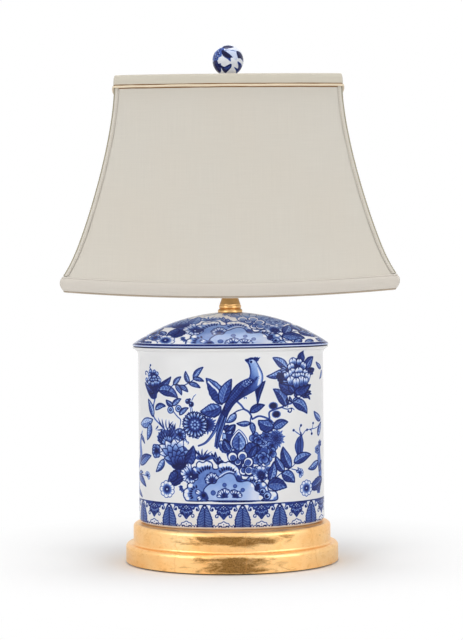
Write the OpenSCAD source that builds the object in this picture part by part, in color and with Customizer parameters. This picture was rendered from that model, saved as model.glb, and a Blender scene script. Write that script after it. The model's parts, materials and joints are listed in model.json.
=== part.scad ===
// Oval porcelain jar table lamp on a stepped wood base, with a harp, a turn-knob
// socket and a rectangular bell shade held by a ball finial.
// Millimetres, +Z up, front towards -Y, origin at the middle of the foot.

/* [Wood base] */
// Width of the lower step of the base
foot_w = 219; // [190:1:250]
// Depth of the lower step of the base
foot_d = 170; // [150:1:200]
// Height of the lower step
lower_h = 18.5; // [16:0.5:24]
// Height of the upper step
upper_h = 20.5; // [16:0.5:26]
// Width of the ledge between the two steps
ledge = 7.8; // [5:0.1:12]
// Radius of the rounded top edges
edge_r = 4; // [2:0.5:6]
// Radius of the small cove where the upper step stands on the ledge
cove_r = 2; // [1:0.5:3]
// Thickness of the felt under the base
felt_t = 1.5; // [1:0.1:3]
// How far the felt stays inside the edge of the base
felt_inset = 3; // [2:0.5:6]

/* [Jar] */
// Width of the oval jar
jar_w = 191; // [170:1:195]
// Depth of the oval jar
jar_d = 120; // [110:1:130]
// Height of the jar from its foot to its lip
jar_h = 181; // [150:1:210]
// Thickness of the porcelain
porcelain = 5; // [4:0.1:6]
// Radius of the rounded edge above the foot
foot_r = 6; // [4:0.5:8]
// Height of the foot ring the jar stands on
foot_ring_h = 2.5; // [1.5:0.1:4]
// How far the lip flares out from the wall
lip_out = 5.5; // [4:0.1:7]
// Height of the flare
lip_h = 8.5; // [7:0.1:12]
// Height of the straight edge of the lip
lip_edge = 1.5; // [1:0.1:2]

/* [Lid] */
// Thickness of the rim of the lid
rim_h = 3.4; // [3:0.1:5]
// Height of the dome above the rim
dome_h = 31.3; // [24:0.1:40]
// Depth of the flange that keeps the lid in the mouth of the jar
flange_h = 8; // [5:0.5:12]
// Gap between the flange and the mouth of the jar
flange_gap = 1.5; // [0.5:0.1:2]
// Depth of the flat ground on the top of the dome
seat_cut = 0.7; // [0.5:0.1:1]

/* [Rod and brass neck] */
// Diameter of the threaded rod that holds the lamp together
rod_d = 10.2; // [9:0.1:11]
// Bore of the rod, where the wire runs
rod_bore = 6.4; // [5:0.1:7]
// Diameter of the seat ring on the lid
ring_d = 25.4; // [22:0.1:30]
// Height of the seat ring
ring_h = 4.7; // [4:0.1:6]
// Diameter of the foot of the neck
neck_d = 22.8; // [20:0.1:24]
// Height of the neck
neck_h = 23.5; // [20:0.1:28]
// Diameter of the top of the neck
neck_top_d = 15; // [13:0.1:17]

/* [Socket and bulb] */
// Outer diameter of the socket shell
shell_d = 31.4; // [31:0.1:33]
// Height of the socket shell
shell_h = 47; // [44:0.5:52]
// Thickness of the brass sheet
sheet = 0.6; // [0.5:0.05:0.8]
// Diameter of the screw part of the bulb
cap_d = 26; // [25.6:0.1:26.2]
// Largest diameter of the bulb
bulb_d = 60; // [50:1:64]
// Diameter of the shaft of the switch
shaft_d = 3.2; // [3:0.1:4]
// Length of the knob of the switch
knob_l = 20; // [16:0.5:24]

/* [Harp] */
// Diameter of the harp wire
harp_wire = 3.8; // [3:0.1:4.2]
// Height of the harp from the ends of its legs to the middle of the wire at its top
harp_h = 181.3; // [176:0.1:200]
// Thickness of the saddle strip
strip = 1.6; // [1.2:0.1:2]
// Width of the saddle strip
strip_w = 12; // [10:0.5:16]
// Length of the two locking sleeves
sleeve_l = 11; // [9:0.5:13]
// Diameter of the threaded stud on the top of the harp
stud_d = 6.2; // [5.8:0.1:6.4]
// Length of the stud above its seat
stud_l = 11.5; // [10:0.5:14]

/* [Shade] */
// Width of the top of the shade, from corner to corner
top_w = 225; // [200:1:250]
// Depth of the top of the shade, from corner to corner
top_d = 128; // [120:1:150]
// How much wider the shade is at the hem than at the top
flare = 102; // [80:0.1:120]
// How much deeper the shade is at the hem than at the top
flare_d = 72; // [60:1:80]
// Height of the shade from the hem at a corner to the top edge
shade_h = 215; // [200:1:230]
// How far the long sides bow out at the hem
bow_long = 9; // [6:0.5:12]
// How far the short sides bow out at the hem
bow_short = 5; // [3:0.5:8]
// How far the hem hangs lower at the middle of a long side than at the corners
dip_long = 6.5; // [0:0.5:8]
// How far the hem hangs lower at the middle of a short side than at the corners
dip_short = 1; // [0:0.5:4]
// Thickness of the fabric cover on its backing
cover_t = 0.8; // [0.6:0.1:1.2]
// Diameter of the frame wire of the shade
frame_wire = 2.8; // [2:0.1:3.4]
// Height of the folded band along the top edge
top_band = 10.5; // [9:0.5:18]
// Height of the folded band along the hem
hem_band = 14; // [10:0.5:18]
// Diameter of the piping beside the bands
piping_d = 2.6; // [1.6:0.1:3]
// Width of each half of the tape over a corner
corner_tape = 4.8; // [3:0.1:7]
// Height from the spider's washer to the top wire of the shade
spider_drop = 10; // [8:0.5:14]

/* [Finial] */
// Diameter of the porcelain ball
ball_d = 32.2; // [26:0.1:38]
// Height of the brass insert below the ball
insert_h = 17.2; // [14:0.1:22]

/* [Hidden] */
$fn = 72;

// Fits: rotating shafts, loose holes, and pieces that rest on each other
running = 0.08;
loose = 0.5;
seat = 0.3;
sunk = 1; // how deep a piece reaches into its own neighbour where they are one

// Base
wood_z = felt_t;
ledge_z = wood_z + lower_h;
base_z = ledge_z + upper_h;
upper_w = foot_w - 2 * ledge;
upper_d = foot_d - 2 * ledge;
pocket_r = 24;
pocket_h = lower_h + 1.5;
channel_z = wood_z + lower_h / 2;
bushing_bore = 7;
bushing_wall = 1;
bushing_l = 12;
flange_t = 1.5;
flange_r = bushing_bore / 2 + 3;

// Jar and lid
floor_t = 6;
inner_w = jar_w - 2 * porcelain;
inner_r = 4;
foot_ring_w = 4;
lip_z = base_z + jar_h;
lip_rise = lip_h - lip_edge;
lip_curve = (pow(lip_out, 2) + pow(lip_rise, 2)) / (2 * lip_out);
lid_r = jar_w / 2 + lip_out;
lid_seam = 0.3;
lid_z = lip_z + lid_seam;
dome_r = lid_r - 1.2;
dome_curve = (pow(dome_r, 2) + pow(dome_h, 2)) / (2 * dome_h);
dome_centre = rim_h + dome_h - dome_curve;
flange_out = inner_w / 2 - flange_gap;
flange_wall = 4;
lid_top_z = lid_z + rim_h + dome_h - seat_cut;

// Rod, nut and neck
rod_hole = rod_d + 2 * loose;
washer_t = 1.5;
washer_d = 30;
nut_t = 4;
nut_d = 18;
rod_foot = 4;
ceiling_z = wood_z + pocket_h;
rod_z = ceiling_z - washer_t - nut_t - rod_foot;
ring_z = lid_top_z;
neck_z = ring_z + ring_h;
neck_bead = 3.8;
saddle_z = neck_z + neck_h;

// Socket
cap_z = saddle_z + strip;
hub_r = 7.5;
hub_h = 5;
cap_flare = 7;
cap_skirt = 6.5;
cap_sheet = 0.9;
cap_gap = 0.2;
cap_r = shell_d / 2 + cap_gap + cap_sheet;
rod_top = cap_z + hub_h + 1;
shell_z = cap_z + hub_h + cap_flare + 0.3;
shell_top = shell_z + shell_h;
bead_r = 0.9;
liner_gap = 0.15;
liner_t = 0.7;
liner_r = shell_d / 2 - sheet - liner_gap;
core_r = liner_r - liner_t - 0.3;
core_z = cap_z + hub_h + cap_flare - 1;
core_h = 26;
core_flat = core_r - 3;
core_top = core_z + core_h;
screw_gap = 0.35;
screw_t = 0.4;
screw_in = cap_d / 2 + screw_gap;
screw_h = 19;
leaf_t = 1.5;
leaf_l = 9;
leaf_w = 4;
terminal_z = core_z + 10;
terminal_d = 5;
shaft_z = core_z + 15;
shaft_in = 8;
shaft_l = 26;
slot_w = shaft_d + 3;
knob_gap = 1.2;
knob_y = shell_d / 2 + knob_gap;
knob_r = 5;
knob_t = 3.6;
knob_w = 12;
knob_hub = 7;

// Bulb
contact_z = core_top + leaf_t + seat;
contact_h = 2;
glass_in_cap = 4;
insulator_h = 3.5;
screw_l = 18;
cap_sheet_t = 0.4;
bulb_cap_z = contact_z + contact_h;
bulb_cap_top = bulb_cap_z + insulator_h + screw_l;
glass_t = 1;
glass_neck = cap_d / 2 - cap_sheet_t - 0.1;
glass_waist = 5;
shoulder_z = bulb_cap_top + glass_waist;
shoulder_curve = 40;
globe_r = bulb_d / 2;
globe_z = shoulder_z + sqrt(pow(globe_r + shoulder_curve, 2) - pow(glass_neck + shoulder_curve, 2));

// Harp and saddle
knuckle = 0.06;
knuckle_half = 0.15;
saddle_flat = 14;
saddle_span = 34;
saddle_rise = 11;
tip_h = 12;
tip_w = 5;
tab_w = 10;
tab_l = 6;
tip_z = saddle_z + saddle_rise;
tab_z = tip_z + strip;
leg_z = tab_z + seat;
leg_x = saddle_span + strip / 2 + seat + harp_wire / 2;
sleeve_x = (saddle_span - strip / 2 + leg_x + harp_wire / 2) / 2;
sleeve_in = sqrt(pow(sleeve_x - saddle_span + strip / 2, 2) + pow(tip_w / 2, 2)) + 0.3;
sleeve_out = sleeve_in + 0.8;
spread_a = 20;
spread_r = 40;
spread_l = 30;
side_a = 35;
side_r = 110;
top_r = 18;
harp_rise = spread_r * sin(spread_a) + spread_l * cos(spread_a)
    + side_r * (sin(spread_a) + sin(side_a)) + top_r * (1 - sin(side_a));
harp_leg = harp_h - harp_rise;
harp_half = leg_x + spread_r * (1 - cos(spread_a)) + spread_l * sin(spread_a)
    + side_r * (cos(side_a) - cos(spread_a)) - top_r * cos(side_a);
harp_top_z = leg_z + harp_h;
pad_w = 16;
pad_d = 9;
pad_t = 2.4;
rivet_r = 2;
rivet_l = harp_wire / 2 + 0.6;
disc_r = 8;
disc_t = 1.8;
disc_z = harp_top_z + pad_t / 2;
stud_z = disc_z + disc_t;

// Shade: each piece is a section of heights and offsets carried round the plan
washer_r = 11;
spider_t = 1.6;
spider_z = stud_z + seat;
spider_top = spider_z + spider_t;
arm_d = 3;
top_wire_z = spider_z + spider_t / 2 + spider_drop;
wire_in = cover_t + 0.2 + frame_wire / 2;
shade_top = top_wire_z + frame_wire / 2 + 1.2;
hem_z = shade_top - shade_h;
roll_z = hem_z + hem_band - 2;
bell_z = shade_top - 15.5;
roll_out = 1;
roll_in = 3;
panel_steps = 12;
bell_steps = 11;
tape_t = 0.8;
tape_gap = 0.2;
lining_in = wire_in + frame_wire / 2 + 0.3;
lining_t = 0.6;
bow_top = 0.75; // share of the hem's bow that the top edge has

// Finial
insert_z = spider_top + seat;
ball_z = insert_z + insert_h + ball_d / 2;
insert_flange_r = 7.5;
insert_flange_t = 2;
insert_r = 4.9;
cup_r = 6.5;
cup_h = 3.5;
spigot_r = 3;
spigot_l = 9;

// Profiles and helpers

// A half profile turned round Z and squeezed in depth, in four quarters
module oval(w, d) {
    for (q = [0:3])
        scale([1, d / w, 1]) rotate([0, 0, 90 * q]) rotate_extrude(angle = 90) children();
}

// Half profile of a slab with a rounded top edge; it reaches down by "under"
module slab_profile(r, h, round_r, under = 0) {
    translate([0, -under]) square([r - round_r, h + under]);
    translate([0, -under]) square([r, h + under - round_r]);
    translate([r - round_r, h - round_r]) circle(round_r);
}

// Half profile of a cove between a wall at r and the face it stands on
module cove_profile(r, round_r) {
    difference() {
        translate([r - sunk, -sunk]) square([round_r + sunk, round_r + sunk]);
        translate([r + round_r, round_r]) circle(round_r);
    }
}

// Solid of a half profile given as points
module turned(points) {
    rotate_extrude() polygon(points);
}

module tube(r_out, r_in, h) {
    rotate_extrude() translate([r_in, 0]) square([r_out - r_in, h]);
}

// A bent wire: it starts at the origin, runs up, and each bend turns it towards -X
// for a positive angle. A step is [straight length] or [bend radius, angle].
// A slight knuckle marks the place where one step goes over into the next.
module bent_wire(steps, r, i = 0) {
    if (i > 0) sphere(r + knuckle);
    if (i < len(steps)) {
        step = steps[i];
        part = i == 0 ? 0 : knuckle_half;
        if (len(step) == 1) {
            translate([0, 0, part]) cylinder(r = r, h = step[0] - part - knuckle_half);
            translate([0, 0, step[0]]) bent_wire(steps, r, i + 1);
        } else {
            side = sign(step[1]);
            part_a = knuckle_half / step[0] * 180 / PI;
            translate([-side * step[0], 0, 0]) {
                rotate([90, 0, 0]) rotate([0, side > 0 ? 0 : 180, 0]) rotate([0, 0, part_a])
                    rotate_extrude(angle = abs(step[1]) - 2 * part_a) translate([step[0], 0]) circle(r);
                rotate([0, -step[1], 0]) translate([side * step[0], 0, 0])
                    bent_wire(steps, r, i + 1);
            }
        }
    }
}

// Base

module base_felt() {
    color("darkolivegreen")
        oval(foot_w - 2 * felt_inset, foot_d - 2 * felt_inset)
            square([foot_w / 2 - felt_inset, felt_t]);
}

module wood_base() {
    color("goldenrod") difference() {
        union() {
            translate([0, 0, wood_z]) oval(foot_w, foot_d)
                slab_profile(foot_w / 2, lower_h, edge_r);
            translate([0, 0, ledge_z]) oval(upper_w, upper_d) {
                slab_profile(upper_w / 2, upper_h, edge_r, under = sunk);
                cove_profile(upper_w / 2, cove_r);
            }
        }
        translate([0, 0, wood_z - sunk]) cylinder(d = rod_hole, h = lower_h + upper_h + 2 * sunk);
        translate([0, 0, wood_z - sunk]) cylinder(r = pocket_r, h = pocket_h + sunk);
        translate([0, 0, channel_z]) rotate([-90, 0, 0])
            cylinder(r = bushing_bore / 2 + bushing_wall + running, h = foot_d);
    }
}

module cord_bushing() {
    color("saddlebrown") translate([0, foot_d / 2, channel_z]) rotate([-90, 0, 0]) difference() {
        union() {
            translate([0, 0, -bushing_l])
                cylinder(r = bushing_bore / 2 + bushing_wall, h = bushing_l + sunk);
            translate([0, 0, running]) cylinder(r = flange_r, h = flange_t);
        }
        translate([0, 0, -bushing_l - sunk])
            cylinder(r = bushing_bore / 2, h = bushing_l + flange_t + 2 * sunk);
    }
}

// Rod that clamps base, jar, lid, neck and socket together

module threaded_rod() {
    color("darkkhaki") translate([0, 0, rod_z])
        tube(rod_d / 2, rod_bore / 2, rod_top - rod_z);
}

module rod_washer() {
    color("silver") translate([0, 0, ceiling_z - washer_t])
        tube(washer_d / 2, rod_d / 2 + running, washer_t);
}

module rod_nut() {
    color("silver") translate([0, 0, ceiling_z - washer_t - nut_t]) difference() {
        cylinder(d = nut_d, h = nut_t, $fn = 6);
        translate([0, 0, -sunk]) cylinder(r = rod_d / 2 + running, h = nut_t + 2 * sunk);
    }
}

// Porcelain

module jar_profile() {
    r = jar_w / 2;
    difference() {
        union() {
            square([r - foot_r, jar_h]);
            translate([0, foot_r]) square([r, jar_h - foot_r]);
            translate([r - foot_r, foot_r]) circle(foot_r);
            translate([r - sunk, jar_h - lip_h]) square([lip_out + sunk, lip_h]);
        }
        translate([r + lip_curve, jar_h - lip_h]) circle(lip_curve);
    }
}

module jar_cavity() {
    r = inner_w / 2;
    translate([0, floor_t]) square([r - inner_r, jar_h]);
    translate([0, floor_t + inner_r]) square([r, jar_h]);
    translate([r - inner_r, floor_t + inner_r]) circle(inner_r);
}

module jar() {
    color("aliceblue") translate([0, 0, base_z]) difference() {
        oval(jar_w, jar_d) difference() {
            jar_profile();
            jar_cavity();
            translate([0, -sunk]) square([jar_w / 2 - foot_r - foot_ring_w, foot_ring_h + sunk]);
        }
        translate([0, 0, -sunk]) cylinder(d = rod_hole, h = floor_t + 2 * sunk);
    }
}

module lid_profile() {
    bead = rim_h / 2;
    flange_in = flange_out - flange_wall;
    difference() {
        union() {
            square([lid_r - bead, rim_h]);
            translate([lid_r - bead, bead]) circle(bead);
            intersection() {
                translate([0, dome_centre]) circle(dome_curve, $fn = 360);
                translate([0, rim_h - sunk]) square([dome_r, dome_h + sunk - seat_cut]);
            }
            translate([0, -flange_h]) square([flange_out, flange_h + sunk]);
        }
        intersection() {
            translate([0, dome_centre]) circle(dome_curve - porcelain, $fn = 360);
            translate([0, -flange_h - sunk]) square([flange_in, dome_h + flange_h + rim_h]);
        }
    }
}

module lid() {
    color("lightsteelblue") difference() {
        translate([0, 0, lid_z]) oval(jar_w, jar_d) lid_profile();
        translate([0, 0, lid_z]) cylinder(d = rod_hole, h = rim_h + dome_h);
    }
}

// Brass between the lid and the socket

module seat_ring() {
    r = ring_d / 2;
    hole = rod_d / 2 + loose;
    color("goldenrod") translate([0, 0, ring_z]) turned([
        [hole, 0], [r - 0.6, 0], [r, 0.8], [r, 2.6], [r - 0.7, 3.6],
        [neck_d / 2 - 0.4, ring_h - 0.4], [neck_d / 2 - 0.8, ring_h], [hole, ring_h]
    ]);
}

module brass_neck() {
    r = neck_d / 2;
    top = neck_top_d / 2;
    waist = top + 0.9;
    hole = rod_d / 2 + loose;
    color("goldenrod") translate([0, 0, neck_z]) turned([
        [hole, 0], [r - 0.5, 0], [r, 0.7], [r, neck_bead - 1], [r - 0.6, neck_bead - 0.3],
        [r - 0.6, neck_bead + 0.4], [waist, neck_bead + 7], [top, neck_h - 5.5],
        [top + 1, neck_h - 3.6], [top + 1, neck_h - 0.6], [top + 0.4, neck_h], [hole, neck_h]
    ]);
}

// One half of the saddle, from the middle of the flat to the tip of the arm
module saddle_half() {
    rise_l = sqrt(pow(saddle_span - saddle_flat, 2) + pow(saddle_rise, 2));
    lift = strip / 2 * (saddle_span - saddle_flat) / rise_l;
    bend = (rise_l - saddle_rise) / (saddle_span - saddle_flat) * strip;
    rotate([90, 0, 0]) translate([0, 0, -strip_w / 2]) linear_extrude(strip_w) polygon([
        [0, 0], [saddle_flat + bend, 0], [saddle_span + strip / 2, saddle_rise - bend],
        [saddle_span + strip / 2, saddle_rise + strip], [saddle_span - strip / 2, saddle_rise + strip],
        [saddle_flat, strip], [0, strip]
    ]);
    translate([saddle_span - strip / 2, -tip_w / 2, saddle_rise])
        cube([strip, tip_w, strip + tip_h]);
    translate([saddle_span - strip / 2, -tab_w / 2, saddle_rise])
        cube([strip + tab_l, tab_w, strip]);
}

module harp_saddle() {
    color("darkkhaki") translate([0, 0, saddle_z]) difference() {
        union() {
            saddle_half();
            mirror([1, 0, 0]) saddle_half();
        }
        translate([0, 0, -sunk]) cylinder(r = rod_d / 2 + loose, h = strip + 2 * sunk);
    }
}

// Socket

module socket_cap() {
    r = cap_r;
    t = cap_sheet;
    top = hub_h + cap_flare;
    color("gold") translate([0, 0, cap_z]) turned([
        [rod_d / 2 + running, 0], [hub_r, 0], [hub_r, hub_h - 1], [hub_r + 1.6, hub_h + 0.4],
        [r - 1.2, top - 1.4], [r, top], [r, top + cap_skirt], [r - t, top + cap_skirt],
        [r - t, top], [r - t - 1, top - 0.9], [hub_r + 1, hub_h + 1.6], [rod_d / 2 + running, hub_h]
    ]);
}

// Slot through which the shaft of the switch leaves the socket
module shaft_slot(z_from, z_to) {
    translate([-slot_w / 2, -shell_d, z_from]) cube([slot_w, shell_d, z_to - z_from]);
}

module socket_shell() {
    r = shell_d / 2;
    color("gold") difference() {
        union() {
            translate([0, 0, shell_z]) tube(r, r - sheet, shell_h);
            translate([0, 0, shell_top - bead_r]) rotate_extrude()
                translate([r - sheet + bead_r, 0]) circle(bead_r);
        }
        shaft_slot(shell_z - sunk, shaft_z + slot_w / 2);
    }
}

module socket_liner() {
    color("tan") difference() {
        translate([0, 0, shell_z]) tube(liner_r, liner_r - liner_t, shell_h - 4);
        shaft_slot(shell_z - sunk, shaft_z + slot_w / 2);
    }
}

module socket_core() {
    color("dimgray") difference() {
        translate([0, 0, core_z]) cylinder(r = core_r, h = core_h);
        for (s = [-1, 1])
            translate([s * (core_flat + core_r / 2), 0, terminal_z])
                cube([core_r, terminal_d + 6, terminal_d + 6], center = true);
        translate([0, -shaft_in, shaft_z]) rotate([90, 0, 0])
            cylinder(d = shaft_d + 2 * running, h = core_r);
    }
}

module terminal_screws() {
    color("gold") for (s = [-1, 1])
        translate([s * core_flat, 0, terminal_z]) rotate([0, s * 90, 0])
            cylinder(d = terminal_d, h = 1.8);
}

module screw_shell() {
    r = screw_in + screw_t;
    floor_in = leaf_l / 2 + 1;
    color("silver") translate([0, 0, core_top]) turned([
        [floor_in, 0], [r, 0], [r, screw_h], [screw_in, screw_h], [screw_in, screw_t], [floor_in, screw_t]
    ]);
}

module centre_contact() {
    color("gold") translate([-leaf_l / 2, -leaf_w / 2, core_top]) cube([leaf_l, leaf_w, leaf_t]);
}

module switch_shaft() {
    color("gold") translate([0, -shaft_in - running, shaft_z]) rotate([90, 0, 0])
        cylinder(d = shaft_d, h = shaft_l);
}

module switch_knob() {
    blade_l = knob_l - knob_hub - knob_w / 2;
    bore_h = shaft_in + shaft_l - knob_y + sunk;
    color("saddlebrown") translate([0, -knob_y, shaft_z]) rotate([90, 0, 0]) difference() {
        union() {
            cylinder(r = knob_r, h = knob_hub);
            translate([-knob_t / 2, -knob_w / 2, knob_hub - sunk])
                cube([knob_t, knob_w, blade_l + sunk]);
            translate([-knob_t / 2, 0, knob_hub + blade_l])
                rotate([0, 90, 0]) cylinder(d = knob_w, h = knob_t);
        }
        translate([0, 0, -sunk]) cylinder(d = shaft_d + 2 * running, h = bore_h + sunk);
    }
}

// Bulb

module bulb_contact() {
    color("silver") translate([0, 0, contact_z])
        turned([[0, 0], [3.5, 0], [4.6, contact_h], [0, contact_h]]);
}

module bulb_cap() {
    r = cap_d / 2;
    seat_h = insulator_h + screw_l - glass_in_cap - 0.2;
    color("silver") translate([0, 0, bulb_cap_z]) turned([
        [0, 0], [4.8, 0], [r - 1, insulator_h - 0.6], [r, insulator_h], [r, insulator_h + screw_l],
        [r - cap_sheet_t, insulator_h + screw_l], [r - cap_sheet_t, seat_h],
        [0, seat_h]
    ]);
}

// Filled outline of the glass, taken in by t all round
module glass_profile(t) {
    join = globe_r / (globe_r + shoulder_curve);
    join_x = (glass_neck + shoulder_curve) * join;
    join_z = globe_z + (shoulder_z - globe_z) * join;
    bottom = bulb_cap_top - glass_in_cap + t;
    translate([0, bottom]) square([glass_neck - t, shoulder_z - bottom]);
    difference() {
        polygon([[0, shoulder_z], [glass_neck - t, shoulder_z], [join_x, join_z - 0.01],
            [join_x, join_z], [0, join_z]]);
        translate([glass_neck + shoulder_curve, shoulder_z]) circle(shoulder_curve + t, $fn = 180);
    }
    intersection() {
        translate([0, globe_z]) circle(globe_r - t, $fn = 120);
        translate([0, join_z - 0.5]) square([globe_r, 2 * globe_r]);
    }
}

module bulb_glass() {
    color("ivory") rotate_extrude() difference() {
        glass_profile(0);
        glass_profile(glass_t);
    }
}

// Harp

module harp_loop() {
    steps = [
        [harp_leg], [spread_r, -spread_a], [spread_l], [side_r, spread_a + side_a],
        [top_r, 90 - side_a], [harp_half - rivet_r / 2]
    ];
    color("darkkhaki") difference() {
        union() {
            for (m = [0, 1]) mirror([m, 0, 0])
                translate([leg_x, 0, leg_z]) bent_wire(steps, harp_wire / 2);
            translate([-pad_w / 2, -pad_d / 2, harp_top_z - pad_t / 2]) cube([pad_w, pad_d, pad_t]);
            // shoulder under the pad, so that the rivet has full depth
            translate([0, 0, harp_top_z - rivet_l]) cylinder(d = pad_d - 1, h = rivet_l);
        }
        translate([0, 0, harp_top_z - rivet_l - sunk])
            cylinder(r = rivet_r + running, h = rivet_l + harp_wire);
        translate([-pad_w, -pad_d, disc_z]) cube([2 * pad_w, 2 * pad_d, harp_wire]);
    }
}

module harp_stud() {
    color("gold") {
        translate([0, 0, harp_top_z - rivet_l])
            cylinder(r = rivet_r, h = disc_z - harp_top_z + rivet_l + sunk);
        translate([0, 0, disc_z]) cylinder(r = disc_r, h = disc_t);
        translate([0, 0, stud_z - sunk / 2]) cylinder(d = stud_d, h = stud_l + sunk / 2);
    }
}

module sleeve(side) {
    color("gold") translate([side * sleeve_x, 0, leg_z]) tube(sleeve_out, sleeve_in, sleeve_l);
}

module left_sleeve() {
    sleeve(-1);
}

module right_sleeve() {
    sleeve(1);
}

// Shade surface. Between bell_z and roll_z the sides flare like a bell,
// and below roll_z they roll in to the bottom wire.

function down(z) = max(0, min(1, (bell_z - z) / (bell_z - roll_z)));
function rolled(z) = max(0, (roll_z - z) / (roll_z - hem_z));
function bell(z) = 0.9 * pow(down(z), 1.5) + 0.1 * pow(down(z), 13);
function curl(z) = roll_out * sin(180 * rolled(z)) - roll_in * pow(rolled(z), 2);
function corner_x(z, out) = top_w / 2 + flare / 2 * bell(z) + curl(z) + out;
function corner_y(z, out) = top_d / 2 + flare_d / 2 * bell(z) + curl(z) + out;
function bow(full, z) = full * (bow_top + (1 - bow_top) * down(z));
function dip(full, z) = full * pow(down(z), 2);

// Side i of 4, share v along it, height z, and distance out from the surface
function on_side(i, v, z, out) =
    let (c = 2 * v - 1, belly = 1 - c * c, long = i % 2 == 0,
        along = c * (long ? corner_x(z, out) : corner_y(z, out)),
        away = long ? corner_y(z, out) + bow(bow_long, z) * belly
            : corner_x(z, out) + bow(bow_short, z) * belly,
        height = z - dip(long ? dip_long : dip_short, z) * belly)
    i == 0 ? [along, -away, height] : i == 1 ? [away, along, height]
    : i == 2 ? [-along, away, height] : [-away, -along, height];

function plan_ring(z, out) = [for (i = [0:3], k = [0:panel_steps - 1]) on_side(i, k / panel_steps, z, out)];

// Closed sweep of a section of [height, out] points round the plan of the shade
module swept_band(section) {
    rings = [for (p = section) plan_ring(p[0], p[1])];
    n = len(rings[0]);
    m = len(rings);
    polyhedron(
        points = [for (ring = rings, p = ring) p],
        faces = [for (j = [0:m - 1], k = [0:n - 1], half = [0, 1])
            let (a = j * n + k, b = j * n + (k + 1) % n,
                c = ((j + 1) % m) * n + (k + 1) % n, d = ((j + 1) % m) * n + k)
            half == 0 ? [a, b, c] : [a, c, d]]
    );
}

// Heights from one level up to another, closer together at the low end
function climb(from, to, steps) = [for (k = [0:steps]) from + (to - from) * pow(k / steps, 1.5)];

// Section of a sheet between two heights, lying from out_a (outside) to out_b (inside)
function sheet_section(heights, out_a, out_b) = concat(
    [for (z = heights) [z, out_a]],
    [for (k = [len(heights) - 1:-1:0]) [heights[k], out_b]]
);

function wire_section(z, out, r, sides) = [for (k = [0:sides - 1])
    [z - r * cos(360 * k / sides), out + r * sin(360 * k / sides)]];

band_out = tape_gap + tape_t;
hem_top = roll_z + 2;
hem_heights = [for (share = [0.12, 0.4, 0.75, 1]) hem_z + share * (roll_z - hem_z)];
band_low = shade_top - top_band;
cover_heights = concat(hem_heights, climb(hem_top, bell_z, bell_steps), [top_wire_z]);

module shade_cover() {
    color("antiquewhite") swept_band(sheet_section(cover_heights, 0, -cover_t));
}

module shade_lining() {
    low = hem_z + frame_wire + 2;
    high = top_wire_z - frame_wire / 2 - 1.4;
    heights = concat([low], climb(roll_z, high, bell_steps));
    color("white") swept_band(sheet_section(heights, -lining_in, -lining_in - lining_t));
}

// Tape folded over the top wire
module shade_top_band() {
    over = shade_top - tape_t;
    inner = -lining_in - lining_t;
    color("antiquewhite") swept_band([
        [band_low, tape_gap], [band_low, band_out], [shade_top - 2.5, band_out],
        [shade_top - 0.6, band_out - 1], [shade_top, -wire_in + 1], [shade_top, inner + 1],
        [shade_top - 0.6, inner], [over - 0.1, inner], [over, inner + 1],
        [over, -wire_in + 1], [over - 0.6, tape_gap]
    ]);
}

// Tape folded round the bottom wire
module shade_hem_band() {
    low = hem_z - tape_t;
    heights = concat(hem_heights, [hem_top]);
    color("antiquewhite") swept_band(concat(
        [for (k = [len(heights) - 1:-1:0]) [heights[k], band_out]],
        [[low, band_out - 1.4], [low, -lining_in], [hem_z, -lining_in], [hem_z, -0.6]],
        [for (z = heights) [z, tape_gap]]
    ));
}

module shade_top_piping() {
    r = piping_d / 2;
    color("tan") swept_band(wire_section(band_low - r - 0.1, tape_gap + r, r, 6));
}

module shade_hem_piping() {
    r = piping_d / 2;
    color("tan") swept_band(wire_section(hem_top + r + 0.1, tape_gap + r, r, 6));
}

module shade_top_wire() {
    color("silver") swept_band(wire_section(top_wire_z, -wire_in, frame_wire / 2, 8));
}

module shade_bottom_wire() {
    color("silver") swept_band(wire_section(hem_z + frame_wire / 2 + 0.1, -wire_in, frame_wire / 2, 8));
}

// A strip that climbs one corner: heights up the corner, and a section of
// [x, y] points measured out from the corner
module corner_strip(heights, section) {
    n = len(section);
    m = len(heights);
    polyhedron(
        points = [for (z = heights, p = section) [corner_x(z, p[0]), corner_y(z, p[1]), z]],
        faces = concat(
            [for (j = [0:m - 2], k = [0:n - 1], half = [0, 1])
                let (a = j * n + k, b = j * n + (k + 1) % n, c = a + n, d = b + n)
                half == 0 ? [a, c, d] : [a, d, b]],
            [for (k = [1:n - 2]) [0, k, k + 1]],
            [for (k = [1:n - 2]) [(m - 1) * n, (m - 1) * n + k + 1, (m - 1) * n + k]]
        )
    );
}

module at_corners() {
    for (mx = [0, 1], my = [0, 1]) mirror([mx, 0, 0]) mirror([0, my, 0]) children();
}

module shade_ribs() {
    r = frame_wire / 2;
    low = hem_z + frame_wire + 0.4;
    high = top_wire_z - frame_wire / 2 - 0.3;
    heights = concat([low], climb(roll_z, high, bell_steps));
    section = [for (k = [0:5]) [-wire_in + r * cos(60 * k), -wire_in + r * sin(60 * k)]];
    color("silver") at_corners() corner_strip(heights, section);
}

module shade_corner_tapes() {
    low = hem_top + piping_d + 0.5;
    high = band_low - piping_d - 0.5;
    heights = climb(low, high, bell_steps);
    g = tape_gap;
    t = band_out - 0.1;
    w = corner_tape;
    // the sides bow out, so the tape leans out by the same share over its own width
    lean_x = 4 * bow_long * w / top_w;
    lean_y = 4 * bow_short * w / top_d;
    section = [
        [g, g], [-w, g + lean_x], [-w, t + lean_x], [t - 0.3, t],
        [t, t - 0.3], [t + lean_y, -w], [g + lean_y, -w]
    ];
    color("antiquewhite") at_corners() corner_strip(heights, section);
}

// Washer on the stud, with an arm to the middle of each side of the top wire
module spider_arm(reach) {
    start = washer_r - 2;
    run = reach - start;
    slope = atan2(spider_drop, run);
    translate([start, 0, 0]) rotate([0, 90 - slope, 0]) cylinder(d = arm_d, h = run / cos(slope));
}

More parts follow.
